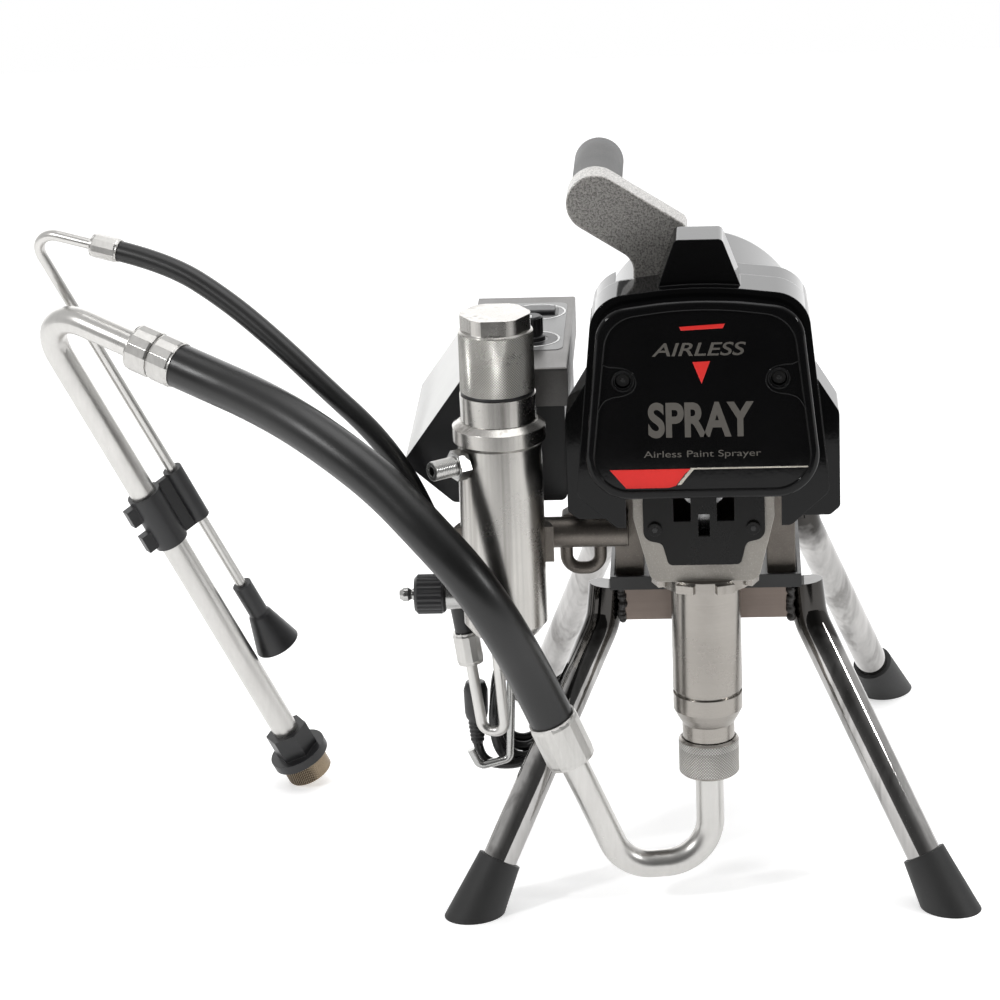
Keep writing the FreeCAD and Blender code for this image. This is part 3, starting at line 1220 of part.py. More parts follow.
def cord_hook():
    front = HANK_FRONT_Y - 3.3
    points = [V(-134, 19, float(S.manifold_bottom)), V(-134, 19, 196), V(-140, front, 180), V(-144, front, 96),
              V(-166, front, 90), V(-172, front, 103)]
    node("cord_hook", feature("CordHook", bent_tube(points, 5.5, 3.0)))


# ---------------------------------------------------------------- build and write

stand_frame()
base_tray()
legs_and_feet()
gear_housing()
bearing_housing()
finger_guard()
crank_gear()
reduction_gear()
rotor()
cooling_fan()
motor()
shaft_bearings()
connecting_rod()
piston_rod()
jam_nut()
pump()
suction_set()
strainer()
drain_set()
tube_clip()
manifold()
outlet_fitting()
prime_valve()
control_box()
control_cover()
control_board()
pressure_knob()
power_switch()
front_hood()
front_cover()
panel_screws()
motor_shroud()
handle()
cord_gland()
power_cord()
cord_hook()
doc.recompute()

faults = []
for thing in doc.Objects:
    if "Invalid" in thing.State or "Error" in thing.State:
        faults.append("%s is %s" % (thing.Label, thing.State))
for thing in nodes:
    if thing.Shape.isNull() or not thing.Shape.isValid() or not thing.Shape.Solids:
        faults.append("%s has no valid solid" % thing.Label)
if faults:
    raise RuntimeError("; ".join(faults))

os.makedirs("parts", exist_ok=True)
for thing in nodes:
    thing.Shape.exportStep("parts/%s.step" % thing.Label)
print(len(nodes), "nodes written")
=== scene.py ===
import math

import bmesh
import bpy
from mathutils import Matrix, Vector


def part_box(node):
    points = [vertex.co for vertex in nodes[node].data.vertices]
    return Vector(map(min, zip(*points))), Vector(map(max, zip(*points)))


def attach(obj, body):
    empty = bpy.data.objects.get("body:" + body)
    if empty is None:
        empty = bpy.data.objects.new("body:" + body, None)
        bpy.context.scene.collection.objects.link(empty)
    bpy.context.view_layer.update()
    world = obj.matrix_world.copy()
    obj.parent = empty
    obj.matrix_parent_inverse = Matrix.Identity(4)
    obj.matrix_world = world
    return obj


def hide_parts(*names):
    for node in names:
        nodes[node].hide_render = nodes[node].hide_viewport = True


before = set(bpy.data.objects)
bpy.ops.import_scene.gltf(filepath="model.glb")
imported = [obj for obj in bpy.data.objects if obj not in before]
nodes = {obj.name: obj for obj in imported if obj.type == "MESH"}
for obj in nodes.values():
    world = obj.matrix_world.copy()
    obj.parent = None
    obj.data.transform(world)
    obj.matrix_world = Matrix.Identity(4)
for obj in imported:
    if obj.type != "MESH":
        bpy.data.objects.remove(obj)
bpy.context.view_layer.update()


def middle(node):
    low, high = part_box(node)
    return (low + high) / 2


def near(x, y, z):
    """A point given from the pump's axis at floor level, in metres."""
    return Vector((pump_axis.x + x, pump_axis.y + y, z))


pump_axis = middle("pump_cylinder")
UP = Vector((0, 0, 1))
BACK = Vector((0, 1, 0))
FRONT = Vector((0, -1, 0))
LEFT = Vector((-1, 0, 0))
RIGHT = Vector((1, 0, 0))


# ---------------------------------------------------------------- camera, light and floor

CAMERA_YAW, CAMERA_PITCH, CAMERA_ROLL = -3.42, 18.69, -2.18
CAMERA_PLACE = near(0.0159, -2.645, 1.2013)
CAMERA_LENS = 144.1
SENSOR_WIDTH = 36.0
LOOK_HEIGHT = 0.25
FLOOR_HALF_WIDTH = 2.6
FLOOR_FRONT, FLOOR_BACK = -1.25, 2.6
FLOOR_GLOW = 0.42


def aim_camera():
    """Looks down at the machine from the front, a little turned and tipped."""
    yaw, pitch, roll = math.radians(CAMERA_YAW), math.radians(CAMERA_PITCH), math.radians(CAMERA_ROLL)
    ahead = Vector((math.sin(yaw) * math.cos(pitch), math.cos(yaw) * math.cos(pitch), -math.sin(pitch)))
    level = Vector((math.cos(yaw), -math.sin(yaw), 0))
    above = level.cross(ahead)
    right = level * math.cos(roll) + above * math.sin(roll)
    top = above * math.cos(roll) - level * math.sin(roll)
    lens = bpy.data.cameras.new("view")
    lens.lens = CAMERA_LENS
    lens.sensor_width = SENSOR_WIDTH
    camera = bpy.data.objects.new("view", lens)
    bpy.context.scene.collection.objects.link(camera)
    turn = Matrix((right, top, -ahead)).transposed().to_4x4()
    camera.matrix_world = Matrix.Translation(CAMERA_PLACE) @ turn
    bpy.context.scene.camera = camera


def lamp(name, place, target, size, power):
    """A square soft box that faces a point."""
    light = bpy.data.lights.new(name, "AREA")
    light.size = size
    light.energy = power
    thing = bpy.data.objects.new(name, light)
    thing.location = place
    thing.rotation_euler = (target - Vector(place)).to_track_quat("-Z", "Y").to_euler()
    bpy.context.scene.collection.objects.link(thing)


def studio():
    """A white tent, brightest at the back and open, so darker, where the camera stands, with a pale floor."""
    scene = bpy.context.scene
    scene.view_settings.view_transform = "Standard"
    world = bpy.data.worlds.new("tent")
    scene.world = world
    world.use_nodes = True
    tree = world.node_tree
    tree.nodes.clear()
    where = tree.nodes.new("ShaderNodeTexCoord")
    facing = tree.nodes.new("ShaderNodeVectorMath")
    facing.operation = "DOT_PRODUCT"
    facing.inputs[1].default_value = Vector((0.10, -0.985, 0.02)).normalized()
    halved = tree.nodes.new("ShaderNodeMapRange")
    halved.inputs["From Min"].default_value = -1.0
    bright = tree.nodes.new("ShaderNodeValToRGB")
    stops = bright.color_ramp.elements
    stops[0].position, stops[0].color = 0.04, (2.2, 2.2, 2.2, 1)
    stops[1].position, stops[1].color = 0.97, (0.10, 0.10, 0.10, 1)
    for place, level in ((0.16, 0.9), (0.62, 0.75), (0.80, 0.30)):
        stop = stops.new(place)
        stop.color = (level, level, level, 1)
    tent = tree.nodes.new("ShaderNodeBackground")
    tent.inputs["Strength"].default_value = 0.9
    plain = tree.nodes.new("ShaderNodeBackground")
    plain.inputs["Color"].default_value = (1, 1, 1, 1)
    rays = tree.nodes.new("ShaderNodeLightPath")
    either = tree.nodes.new("ShaderNodeMixShader")
    out = tree.nodes.new("ShaderNodeOutputWorld")
    join = tree.links.new
    join(where.outputs["Generated"], facing.inputs[0])
    join(facing.outputs["Value"], halved.inputs["Value"])
    join(halved.outputs["Result"], bright.inputs["Fac"])
    join(bright.outputs["Color"], tent.inputs["Color"])
    join(rays.outputs["Is Camera Ray"], either.inputs["Fac"])
    join(tent.outputs[0], either.inputs[1])
    join(plain.outputs[0], either.inputs[2])
    join(either.outputs[0], out.inputs["Surface"])
    heart = Vector((0, 0, LOOK_HEIGHT))
    lamp("left softbox", (-1.7, -1.3, 1.5), heart, 0.22, 15)
    lamp("right softbox", (1.9, -0.9, 1.2), heart, 0.25, 8)
    lamp("top softbox", (0.1, 0.1, 2.3), heart, 1.4, 14)
    ground = Finish("studio floor", (0.93, 0.93, 0.93), 0.8)
    grain = ground.effect(GRAIN, 60.0)
    ground.stain(grain["Fleck"], (0.95, 0.95, 0.95))
    ground.set("Emission Color", (1, 1, 1, 1))
    ground.set("Emission Strength", FLOOR_GLOW)
    floor = bpy.data.meshes.new("studio_floor")
    side = FLOOR_HALF_WIDTH
    corners = [(-side, FLOOR_FRONT, 0), (side, FLOOR_FRONT, 0), (side, FLOOR_BACK, 0), (-side, FLOOR_BACK, 0)]
    floor.from_pydata(corners, [], [(0, 1, 2, 3)])
    floor.materials.append(ground.material)
    thing = bpy.data.objects.new("studio_floor", floor)
    bpy.context.scene.collection.objects.link(thing)


aim_camera()


# ---------------------------------------------------------------- surface effects shared by the finishes

def effect(name, inputs, outputs):
    """A new node group with float inputs, and outputs given as name: kind. Returns it and its two end nodes."""
    tree = bpy.data.node_groups.new(name, "ShaderNodeTree")
    for socket, value in inputs.items():
        made = tree.interface.new_socket(name=socket, in_out="INPUT", socket_type="NodeSocketFloat")
        made.default_value = value
    for socket, kind in outputs.items():
        tree.interface.new_socket(name=socket, in_out="OUTPUT", socket_type=kind)
    return tree, tree.nodes.new("NodeGroupInput"), tree.nodes.new("NodeGroupOutput")


def math_node(tree, operation, first, second=None, clamp=False):
    node = tree.nodes.new("ShaderNodeMath")
    node.operation = operation
    node.use_clamp = clamp
    for i, value in enumerate((first, second)):
        if value is None:
            continue
        if isinstance(value, (int, float)):
            node.inputs[i].default_value = value
        else:
            tree.links.new(value, node.inputs[i])
    return node.outputs[0]


def noise(tree, vector, scale, detail=2.0, rough=0.5):
    node = tree.nodes.new("ShaderNodeTexNoise")
    node.inputs["Detail"].default_value = detail
    node.inputs["Roughness"].default_value = rough
    tree.links.new(vector, node.inputs["Vector"])
    if isinstance(scale, (int, float)):
        node.inputs["Scale"].default_value = scale
    else:
        tree.links.new(scale, node.inputs["Scale"])
    return node.outputs["Fac"]


def remap(tree, value, low, high, to_low=0.0, to_high=1.0):
    node = tree.nodes.new("ShaderNodeMapRange")
    for socket, given in zip(("From Min", "From Max", "To Min", "To Max"), (low, high, to_low, to_high)):
        node.inputs[socket].default_value = given
    tree.links.new(value, node.inputs["Value"])
    return node.outputs["Result"]


def own_place(tree):
    return tree.nodes.new("ShaderNodeTexCoord").outputs["Object"]


def stretched(tree, vector, x, y, z):
    """The same coordinates drawn out, by inputs or numbers, along each axis."""
    node = tree.nodes.new("ShaderNodeVectorMath")
    node.operation = "MULTIPLY"
    tree.links.new(vector, node.inputs[0])
    joiner = tree.nodes.new("ShaderNodeCombineXYZ")
    for i, value in enumerate((x, y, z)):
        if isinstance(value, (int, float)):
            joiner.inputs[i].default_value = value
        else:
            tree.links.new(value, joiner.inputs[i])
    tree.links.new(joiner.outputs[0], node.inputs[1])
    return node.outputs[0]


def make_grain():
    """Fine moulded or cast grain: a height, and flecks where it is highest."""
    tree, given, out = effect("fine grain", {"Grains per metre": 1500.0},
                              {"Height": "NodeSocketFloat", "Fleck": "NodeSocketFloat"})
    fine = noise(tree, own_place(tree), given.outputs[0], 3.0, 0.6)
    tree.links.new(fine, out.inputs["Height"])
    tree.links.new(remap(tree, fine, 0.56, 0.72), out.inputs["Fleck"])
    return tree


def make_handling():
    """Soft wide patches, as handling and polishing leave, mixed with a little fine dirt."""
    tree, given, out = effect("handling marks", {"Patches per metre": 14.0}, {"Mark": "NodeSocketFloat"})
    place = own_place(tree)
    wide = noise(tree, place, given.outputs[0], 3.0, 0.55)
    small = noise(tree, place, 420.0, 2.0, 0.6)
    mixed = math_node(tree, "ADD", math_node(tree, "MULTIPLY", wide, 0.8), math_node(tree, "MULTIPLY", small, 0.2))
    tree.links.new(remap(tree, mixed, 0.32, 0.68), out.inputs["Mark"])
    return tree


def make_lines_and_reflection_bands():
    """Tool or drawing lines, and wide bands of painted reflection: noise that is long along one axis and short
    across it.
    """
    tree, given, out = effect("drawn lines and painted reflection bands", {"Across X": 300.0, "Across Y": 300.0, "Across Z": 10.0},
                              {"Line": "NodeSocketFloat"})
    place = stretched(tree, own_place(tree), *given.outputs[:3])
    tree.links.new(remap(tree, noise(tree, place, 1.0, 3.0, 0.65), 0.3, 0.7), out.inputs["Line"])
    return tree


def make_edge():
    """Where a surface turns over a corner, and a normal that rounds that corner."""
    tree, given, out = effect("worn edge", {"Width": 0.0006},
                              {"Edge": "NodeSocketFloat", "Rounded": "NodeSocketVector"})
    bevel = tree.nodes.new("ShaderNodeBevel")
    bevel.samples = 4
    tree.links.new(given.outputs[0], bevel.inputs["Radius"])
    flat = tree.nodes.new("ShaderNodeNewGeometry").outputs["Normal"]
    agree = tree.nodes.new("ShaderNodeVectorMath")
    agree.operation = "DOT_PRODUCT"
    tree.links.new(bevel.outputs[0], agree.inputs[0])
    tree.links.new(flat, agree.inputs[1])
    tree.links.new(remap(tree, agree.outputs["Value"], 0.985, 0.85), out.inputs["Edge"])
    tree.links.new(bevel.outputs[0], out.inputs["Rounded"])
    return tree


GRAIN = make_grain()
HANDLING = make_handling()
DRAWN_LINES_AND_REFLECTION_BANDS = make_lines_and_reflection_bands()
EDGE = make_edge()


# ---------------------------------------------------------------- finishes

COAT_ROUGHNESS = 0.03
RAGGED_HEIGHT = 0.03
PAINT_PATCHES = 14.0
METAL_PATCHES = 18.0
CAST_PATCHES = 22.0
CUT_PATCHES = 30.0
HAMMER_PATCHES = 16.0
CAST_METALLIC = 0.85
HAMMER_METALLIC = 0.5


class Finish:
    """A material with one Principled shader, whose constants are set on its own sockets."""

    def __init__(self, name, colour, roughness, metallic=0.0, coat=0.0):
        self.material = bpy.data.materials.new(name)
        self.material.use_nodes = True
        self.tree = self.material.node_tree
        self.shader = self.tree.nodes["Principled BSDF"]
        self.colour = (*colour, 1.0)
        self.set("Base Color", self.colour)
        self.set("Roughness", roughness)
        self.set("Metallic", metallic)
        self.set("Coat Weight", coat)
        self.set("Coat Roughness", COAT_ROUGHNESS)
        self.material.diffuse_color = self.colour

    def set(self, socket, value):
        self.shader.inputs[socket].default_value = value

    def effect(self, group, *values):
        node = self.tree.nodes.new("ShaderNodeGroup")
        node.node_tree = group
        for i, value in enumerate(values):
            node.inputs[i].default_value = value
        return node.outputs

    def stain(self, mask, colour, strength=1.0):
        """Mixes a second colour in where the mask says."""
        mix = self.tree.nodes.new("ShaderNodeMix")
        mix.data_type = "RGBA"
        before = self.shader.inputs["Base Color"]
        if before.is_linked:
            self.tree.links.new(before.links[0].from_socket, mix.inputs["A"])
        else:
            mix.inputs["A"].default_value = self.colour
        mix.inputs["B"].default_value = (*colour, 1.0)
        self.tree.links.new(math_node(self.tree, "MULTIPLY", mask, strength), mix.inputs["Factor"])
        self.tree.links.new(mix.outputs["Result"], before)
        return self

    def roughen(self, mask, low, high):
        self.tree.links.new(remap(self.tree, mask, 0.0, 1.0, low, high), self.shader.inputs["Roughness"])
        return self

    def above(self, low, high):
        """A mask that rises with height from 0 to 1 between two heights, with a ragged edge."""
        place = self.tree.nodes.new("ShaderNodeNewGeometry").outputs["Position"]
        parts = self.tree.nodes.new("ShaderNodeSeparateXYZ")
        self.tree.links.new(place, parts.inputs[0])
        ragged = math_node(self.tree, "MULTIPLY", noise(self.tree, place, 90.0), RAGGED_HEIGHT)
        return remap(self.tree, math_node(self.tree, "ADD", parts.outputs["Z"], ragged),
                     low + RAGGED_HEIGHT / 2, high + RAGGED_HEIGHT / 2)

    def relief(self, height, distance, strength=1.0, normal=None):
        """Bump of that depth in metres, over any relief that is already there."""
        bump = self.tree.nodes.new("ShaderNodeBump")
        bump.inputs["Distance"].default_value = distance
        bump.inputs["Strength"].default_value = strength
        self.tree.links.new(height, bump.inputs["Height"])
        target = self.shader.inputs["Normal"]
        if target.is_linked:
            self.tree.links.new(target.links[0].from_socket, bump.inputs["Normal"])
        elif normal is not None:
            self.tree.links.new(normal, bump.inputs["Normal"])
        self.tree.links.new(bump.outputs[0], target)
        return self


def painted(name, colour, roughness, rough_range, coat=0.0, grains=2600.0, grain_depth=0.00002, edge=0.0007):
    """Paint or moulded plastic: grain, handling marks in the sheen, and corners a little rubbed."""
    made = Finish(name, colour, roughness, coat=coat)
    grain = made.effect(GRAIN, grains)
    mark = made.effect(HANDLING, PAINT_PATCHES)["Mark"]
    corner = made.effect(EDGE, edge)
    made.stain(mark, tuple(min(1.0, c * 1.5 + 0.003) for c in colour), 0.5)
    made.stain(corner["Edge"], tuple(min(1.0, c * 1.6 + 0.02) for c in colour), 0.6)
    made.roughen(mark, *rough_range)
    made.relief(grain["Height"], grain_depth, 1.0, corner["Rounded"])
    return made


def worked_metal(name, colour, rough_range, lines, depth=0.00001, edge=0.0005, dark=0.75, bands=None):
    """Bright metal with tool lines along one way, patchy polish, bright corners and, if asked, wide dark bands of
    painted reflection that stand for the dark side of the room mirrored in the metal.
    """
    made = Finish(name, colour, rough_range[0], metallic=1.0)
    line = made.effect(DRAWN_LINES_AND_REFLECTION_BANDS, *lines)["Line"]
    mark = made.effect(HANDLING, METAL_PATCHES)["Mark"]
    corner = made.effect(EDGE, edge)
    # Wide dark bands, when given, are painted reflection: the dark open side of the tent mirrored in the metal.
    if bands:
        band = made.effect(DRAWN_LINES_AND_REFLECTION_BANDS, *bands[0])["Line"]
        made.stain(remap(made.tree, band, 0.55, 0.85), bands[1], 0.85)
    made.stain(line, tuple(c * dark for c in colour), 0.7)
    made.stain(mark, tuple(c * 0.86 for c in colour), 0.6)
    made.stain(corner["Edge"], tuple(min(1.0, c * 1.15 + 0.05) for c in colour), 0.7)
    made.roughen(mark, *rough_range)
    made.relief(line, depth, 0.6, corner["Rounded"])
    return made


def cast_metal(name, colour, rough_range, grains, depth):
    """Cast or blasted metal: coarse grain with bright flecks, and rubbed corners."""
    made = Finish(name, colour, rough_range[0], metallic=CAST_METALLIC)
    grain = made.effect(GRAIN, grains)
    mark = made.effect(HANDLING, CAST_PATCHES)["Mark"]
    corner = made.effect(EDGE, 0.0009)
    made.stain(mark, tuple(c * 0.72 for c in colour), 0.8)
    made.stain(grain["Fleck"], tuple(min(1.0, c * 1.45) for c in colour), 0.7)
    made.stain(corner["Edge"], tuple(min(1.0, c * 1.4 + 0.08) for c in colour), 0.8)
    made.roughen(mark, *rough_range)
    made.relief(grain["Height"], depth, 1.0, corner["Rounded"])
    return made


def bare_metal(name, colour, rough_range):
    """Bright metal whose cut texture stays crisp: no rounding at its corners."""
    made = Finish(name, colour, rough_range[0], metallic=1.0)
    mark = made.effect(HANDLING, CUT_PATCHES)["Mark"]
    grain = made.effect(GRAIN, 2600.0)
    made.stain(mark, tuple(c * 0.75 for c in colour), 0.7)
    made.roughen(mark, *rough_range)
    made.relief(grain["Height"], 0.00001)
    return made


def hammered(name, colour, rough_range):
    """Hammered paint: coarse dark pits, bright crests between them, and bright rubbed corners."""
    made = Finish(name, colour, rough_range[0], metallic=HAMMER_METALLIC)
    pits = made.effect(GRAIN, 700.0)
    specks = made.effect(GRAIN, 1700.0)
    mark = made.effect(HANDLING, HAMMER_PATCHES)["Mark"]
    corner = made.effect(EDGE, 0.0009)
    made.stain(remap(made.tree, pits["Height"], 0.56, 0.40), tuple(c * 0.30 for c in colour), 0.8)
    made.stain(specks["Fleck"], tuple(min(1.0, c * 2.4) for c in colour), 0.9)
    made.stain(corner["Edge"], tuple(min(1.0, c * 2.2) for c in colour), 0.9)
    made.roughen(mark, *rough_range)
    made.relief(pits["Height"], 0.0003, 1.0, corner["Rounded"])
    made.relief(specks["Height"], 0.00012)
    return made


gloss_black = painted("gloss black moulding", (0.0022, 0.0022, 0.0024), 0.06, (0.03, 0.08),
                      grains=200.0, grain_depth=0.00001, edge=0.0012)
gloss_black.set("Specular IOR Level", 0.22)
satin_black = painted("satin black", (0.010, 0.010, 0.011), 0.38, (0.30, 0.46))
guard_black = painted("guard black", (0.0032, 0.0030, 0.0028), 0.3, (0.24, 0.36))
guard_black.set("Specular IOR Level", 0.25)
black_rubber = painted("black rubber", (0.012, 0.012, 0.012), 0.55, (0.48, 0.66), grains=1900.0, grain_depth=0.00006)
foam_grip = painted("grip rubber", (0.050, 0.050, 0.049), 0.5, (0.42, 0.6), grains=2400.0, grain_depth=0.00012)
hose_black = painted("hose cover", (0.006, 0.006, 0.006), 0.32, (0.28, 0.40), grains=2200.0, grain_depth=0.00005)
lead_black = painted("lead sheath", (0.006, 0.006, 0.006), 0.24, (0.18, 0.32), grains=1400.0, grain_depth=0.00001)
clip_black = painted("clip nylon", (0.014, 0.014, 0.015), 0.4, (0.32, 0.5), grains=1700.0, grain_depth=0.00004)
tray_black = painted("tray paint", (0.010, 0.010, 0.010), 0.4, (0.3, 0.5), grains=1200.0, grain_depth=0.00003)
panel_grey = painted("light panel paint", (0.52, 0.52, 0.51), 0.42, (0.34, 0.48), grains=1600.0, grain_depth=0.00002)
label_grey = painted("label film", (0.17, 0.17, 0.17), 0.35, (0.3, 0.42), grains=1800.0, grain_depth=0.000008)
print_white = painted("white print", (0.80, 0.80, 0.79), 0.4, (0.35, 0.45), grains=1800.0, grain_depth=0.000008)
print_red = painted("red print", (0.72, 0.014, 0.010), 0.4, (0.34, 0.46), grains=700.0, grain_depth=0.00001)
print_grey = painted("grey print", (0.085, 0.078, 0.068), 0.4, (0.35, 0.45), grains=1800.0, grain_depth=0.000008)
weld_metal = painted("scorched weld", (0.016, 0.014, 0.013), 0.35, (0.25, 0.5), grains=900.0, grain_depth=0.0001)
print_silver = worked_metal("silver foil", (0.70, 0.66, 0.58), (0.2, 0.32), (40.0, 400.0, 400.0), 0.000004)
hammer_grey = hammered("hammered grey paint", (0.42, 0.405, 0.385), (0.26, 0.4))
cast_light = cast_metal("cast alloy", (0.36, 0.34, 0.31), (0.38, 0.52), 1300.0, 0.00016)
cast_warm = cast_metal("darker cast alloy", (0.20, 0.18, 0.16), (0.38, 0.5), 1100.0, 0.00014)
# The dark bands given here are painted reflections.
chrome = worked_metal("chromed tube", (0.50, 0.49, 0.48), (0.03, 0.09), (70.0, 70.0, 9.0), 0.00004, dark=0.4,
                      bands=((46.0, 46.0, 3.0), (0.05, 0.045, 0.04)))
chrome.stain(chrome.above(0.168, 0.192), (0.022, 0.020, 0.018), 0.92)
bar_metal = worked_metal("plated bar", (0.20, 0.165, 0.145), (0.28, 0.42), (12.0, 300.0, 300.0), 0.00002)
# The dark bands given here are painted reflections.
turned_steel = worked_metal("turned stainless", (0.34, 0.32, 0.295), (0.2, 0.3), (6.0, 6.0, 1500.0), 0.00001,
                            dark=0.85, bands=((42.0, 42.0, 1.2), (0.13, 0.115, 0.10)))
# The dark bands given here are painted reflections.
milled_alloy = worked_metal("milled alloy", (0.52, 0.505, 0.48), (0.2, 0.3), (420.0, 420.0, 6.0), 0.00001, dark=0.7,
                            bands=((58.0, 58.0, 1.5), (0.10, 0.085, 0.07)))
pipe_alloy = worked_metal("satin pipe", (0.62, 0.61, 0.59), (0.26, 0.36), (260.0, 260.0, 26.0), 0.00001, dark=0.88)
zinc_steel = worked_metal("zinc plate", (0.46, 0.46, 0.45), (0.18, 0.3), (60.0, 60.0, 700.0), 0.00001)
crimped_alloy = worked_metal("crimped ferrule", (0.58, 0.57, 0.55), (0.26, 0.38), (380.0, 380.0, 40.0), 0.00001)
knurl_alloy = bare_metal("knurled alloy", (0.60, 0.59, 0.56), (0.24, 0.36))
knurl_steel = bare_metal("knurled steel", (0.68, 0.67, 0.65), (0.24, 0.36))
# A darker metal laid on the deepest faces of the knurls: painted shade in their grooves.
knurl_groove_shade = bare_metal("painted shade in knurl grooves", (0.30, 0.29, 0.27), (0.34, 0.48))
# A dark colour laid between the strainer's wires: painted shade in the gaps of the weave.
wire_gap_shade = bare_metal("painted shade between wires", (0.07, 0.055, 0.04), (0.5, 0.65))
brushed_sheet = worked_metal("brushed sheet", (0.17, 0.165, 0.16), (0.34, 0.46), (900.0, 12.0, 900.0), 0.00001,
                             dark=0.8)
steel = worked_metal("ground steel", (0.48, 0.48, 0.48), (0.2, 0.35), (12.0, 700.0, 12.0), 0.00001)
wire_mesh = worked_metal("strainer wire", (0.34, 0.27, 0.19), (0.35, 0.5), (400.0, 400.0, 400.0), 0.00002)
copper = worked_metal("winding copper", (0.62, 0.28, 0.14), (0.3, 0.4), (60.0, 900.0, 900.0), 0.00003)
board_green = painted("circuit board", (0.02, 0.10, 0.04), 0.35, (0.3, 0.42))
white_seal = painted("packing", (0.70, 0.69, 0.64), 0.5, (0.45, 0.6))
filter_cloth = painted("filter gauze", (0.42, 0.40, 0.34), 0.6, (0.5, 0.7), grains=3000.0, grain_depth=0.0001)

FINISH_OF = {
    chrome: ["front_leg_left", "front_leg_right", "rear_leg_left", "rear_leg_right"],
    bar_metal: ["stand_frame"],
    tray_black: ["base_tray"],
    black_rubber: ["rubber_feet"],
    cast_warm: ["gear_housing"],
    cast_light: ["bearing_housing", "motor_end_cap"],
    satin_black: ["strainer_body", "prime_knob", "pressure_knob", "power_switch", "cord_gland"],
    guard_black: ["finger_guard", "panel_screws"],
    steel: ["crank_gear", "reduction_gear", "shaft_bearings", "connecting_rod", "rod_pins", "intake_ball"],
    copper: ["rotor"],
    clip_black: ["cooling_fan", "tube_clip", "drain_deflector"],
    zinc_steel: ["motor_body", "outlet_fitting", "cord_hook", "prime_valve"],
    turned_steel: ["piston_rod", "pump_cylinder", "intake_valve", "jam_nut", "coupling_nut"],
    white_seal: ["pump_packings"],
    pipe_alloy: ["suction_elbow", "suction_pipe", "drain_tube", "drain_pipe"],
    crimped_alloy: ["suction_ferrules", "drain_ferrules"],
    hose_black: ["suction_hose", "drain_hose"],
    lead_black: ["power_cord", "cord_hank", "power_plug"],
    wire_mesh: ["strainer_mesh"],
    milled_alloy: ["manifold_body", "manifold_cap"],
    filter_cloth: ["filter_element"],
    panel_grey: ["control_box"],
    brushed_sheet: ["control_cover"],
    board_green: ["control_board"],
    gloss_black: ["front_hood", "front_cover", "motor_shroud"],
    hammer_grey: ["handle_bracket"],
    foam_grip: ["handle_grip"],
}
for finish, names in FINISH_OF.items():
    for name in names:
        slots = nodes[name].data.materials
        slots.clear()
        slots.append(finish.material)


# ---------------------------------------------------------------- makers of shapes

def show(name, mesh, finish, body, slot, smooth=True):
    """Puts a mesh in the scene as a piece of that body."""
    mesh.update()
    if smooth:
        mesh.shade_smooth()
    thing = bpy.data.objects.new(name, mesh)
    mesh.materials.append(finish.material)
    bpy.context.scene.collection.objects.link(thing)
    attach(thing, body)
    return thing


def mesh_of(name, points, faces):
    mesh = bpy.data.meshes.new(name)
    mesh.from_pydata([tuple(p) for p in points], [], faces)
    shape = bmesh.new()
    shape.from_mesh(mesh)
    bmesh.ops.recalc_face_normals(shape, faces=shape.faces)
    shape.to_mesh(mesh)
    shape.free()
    return mesh


def across(way):
    """Two directions square to a direction, and to each other."""
    side = way.orthogonal().normalized()
    return side, way.cross(side).normalized()


def turned_mesh(name, foot, way, profile, columns=72):
    """A closed ring turned about a line. The profile is (radius, distance along) all round the ring's section."""
    way = way.normalized()
    side, other = across(way)
    points = []
    for i in range(columns):
        angle = 2 * math.pi * i / columns
        out = side * math.cos(angle) + other * math.sin(angle)
        points += [foot + way * along + out * radius for radius, along in profile]
    count = len(profile)
    faces = []
    for i in range(columns):
        near_column = i * count
        far_column = ((i + 1) % columns) * count
        for j in range(count):
            k = (j + 1) % count
            faces.append((near_column + j, far_column + j, far_column + k, near_column + k))
    return mesh_of(name, points, faces)


def ridge(value):
    """A triangle wave from 0 in a groove to 1 on a ridge."""
    return abs(2 * (value % 1.0) - 1)


SLEEVE_WALL = 0.003
GROOVE_SHARE = 0.62


def carved(name, foot, way, radius, start, end, columns, rows, depth_at, finish, body, slot, smooth=False,
           groove=None):
    """A sleeve round a line, closed inside and at both rims. depth_at(turn, along) is how deep it is cut there,
    and a second finish, when given, covers the deepest part of the cuts as painted shade."""
    way = way.normalized()
    side, other = across(way)
    inner = radius - SLEEVE_WALL
    points = []
    depths = []
    for i in range(columns):
        turn = i / columns
        out = side * math.cos(2 * math.pi * turn) + other * math.sin(2 * math.pi * turn)
        points.append(foot + way * start + out * inner)
        depths.append(0.0)
        for j in range(rows + 1):
            along = start + (end - start) * j / rows
            depths.append(depth_at(turn, along))
            points.append(foot + way * along + out * (radius - depths[-1]))
        points.append(foot + way * end + out * inner)
        depths.append(0.0)
    count = rows + 3
    faces = []
    for i in range(columns):
        near_column = i * count
        far_column = ((i + 1) % columns) * count
        for j in range(count):
            k = (j + 1) % count
            faces.append((near_column + j, far_column + j, far_column + k, near_column + k))
    thing = show(name, mesh_of(name, points, faces), finish, body, slot, smooth=smooth)
    # The groove finish is painted shade, laid on the faces cut deepest, where the cuts would be in shadow.
    if groove:
        thing.data.materials.append(groove.material)
        deepest = max(depths)
        for face in thing.data.polygons:
            deep = sum(depths[i] for i in face.vertices) / len(face.vertices)
            face.material_index = int(deep > GROOVE_SHARE * deepest)
    return thing


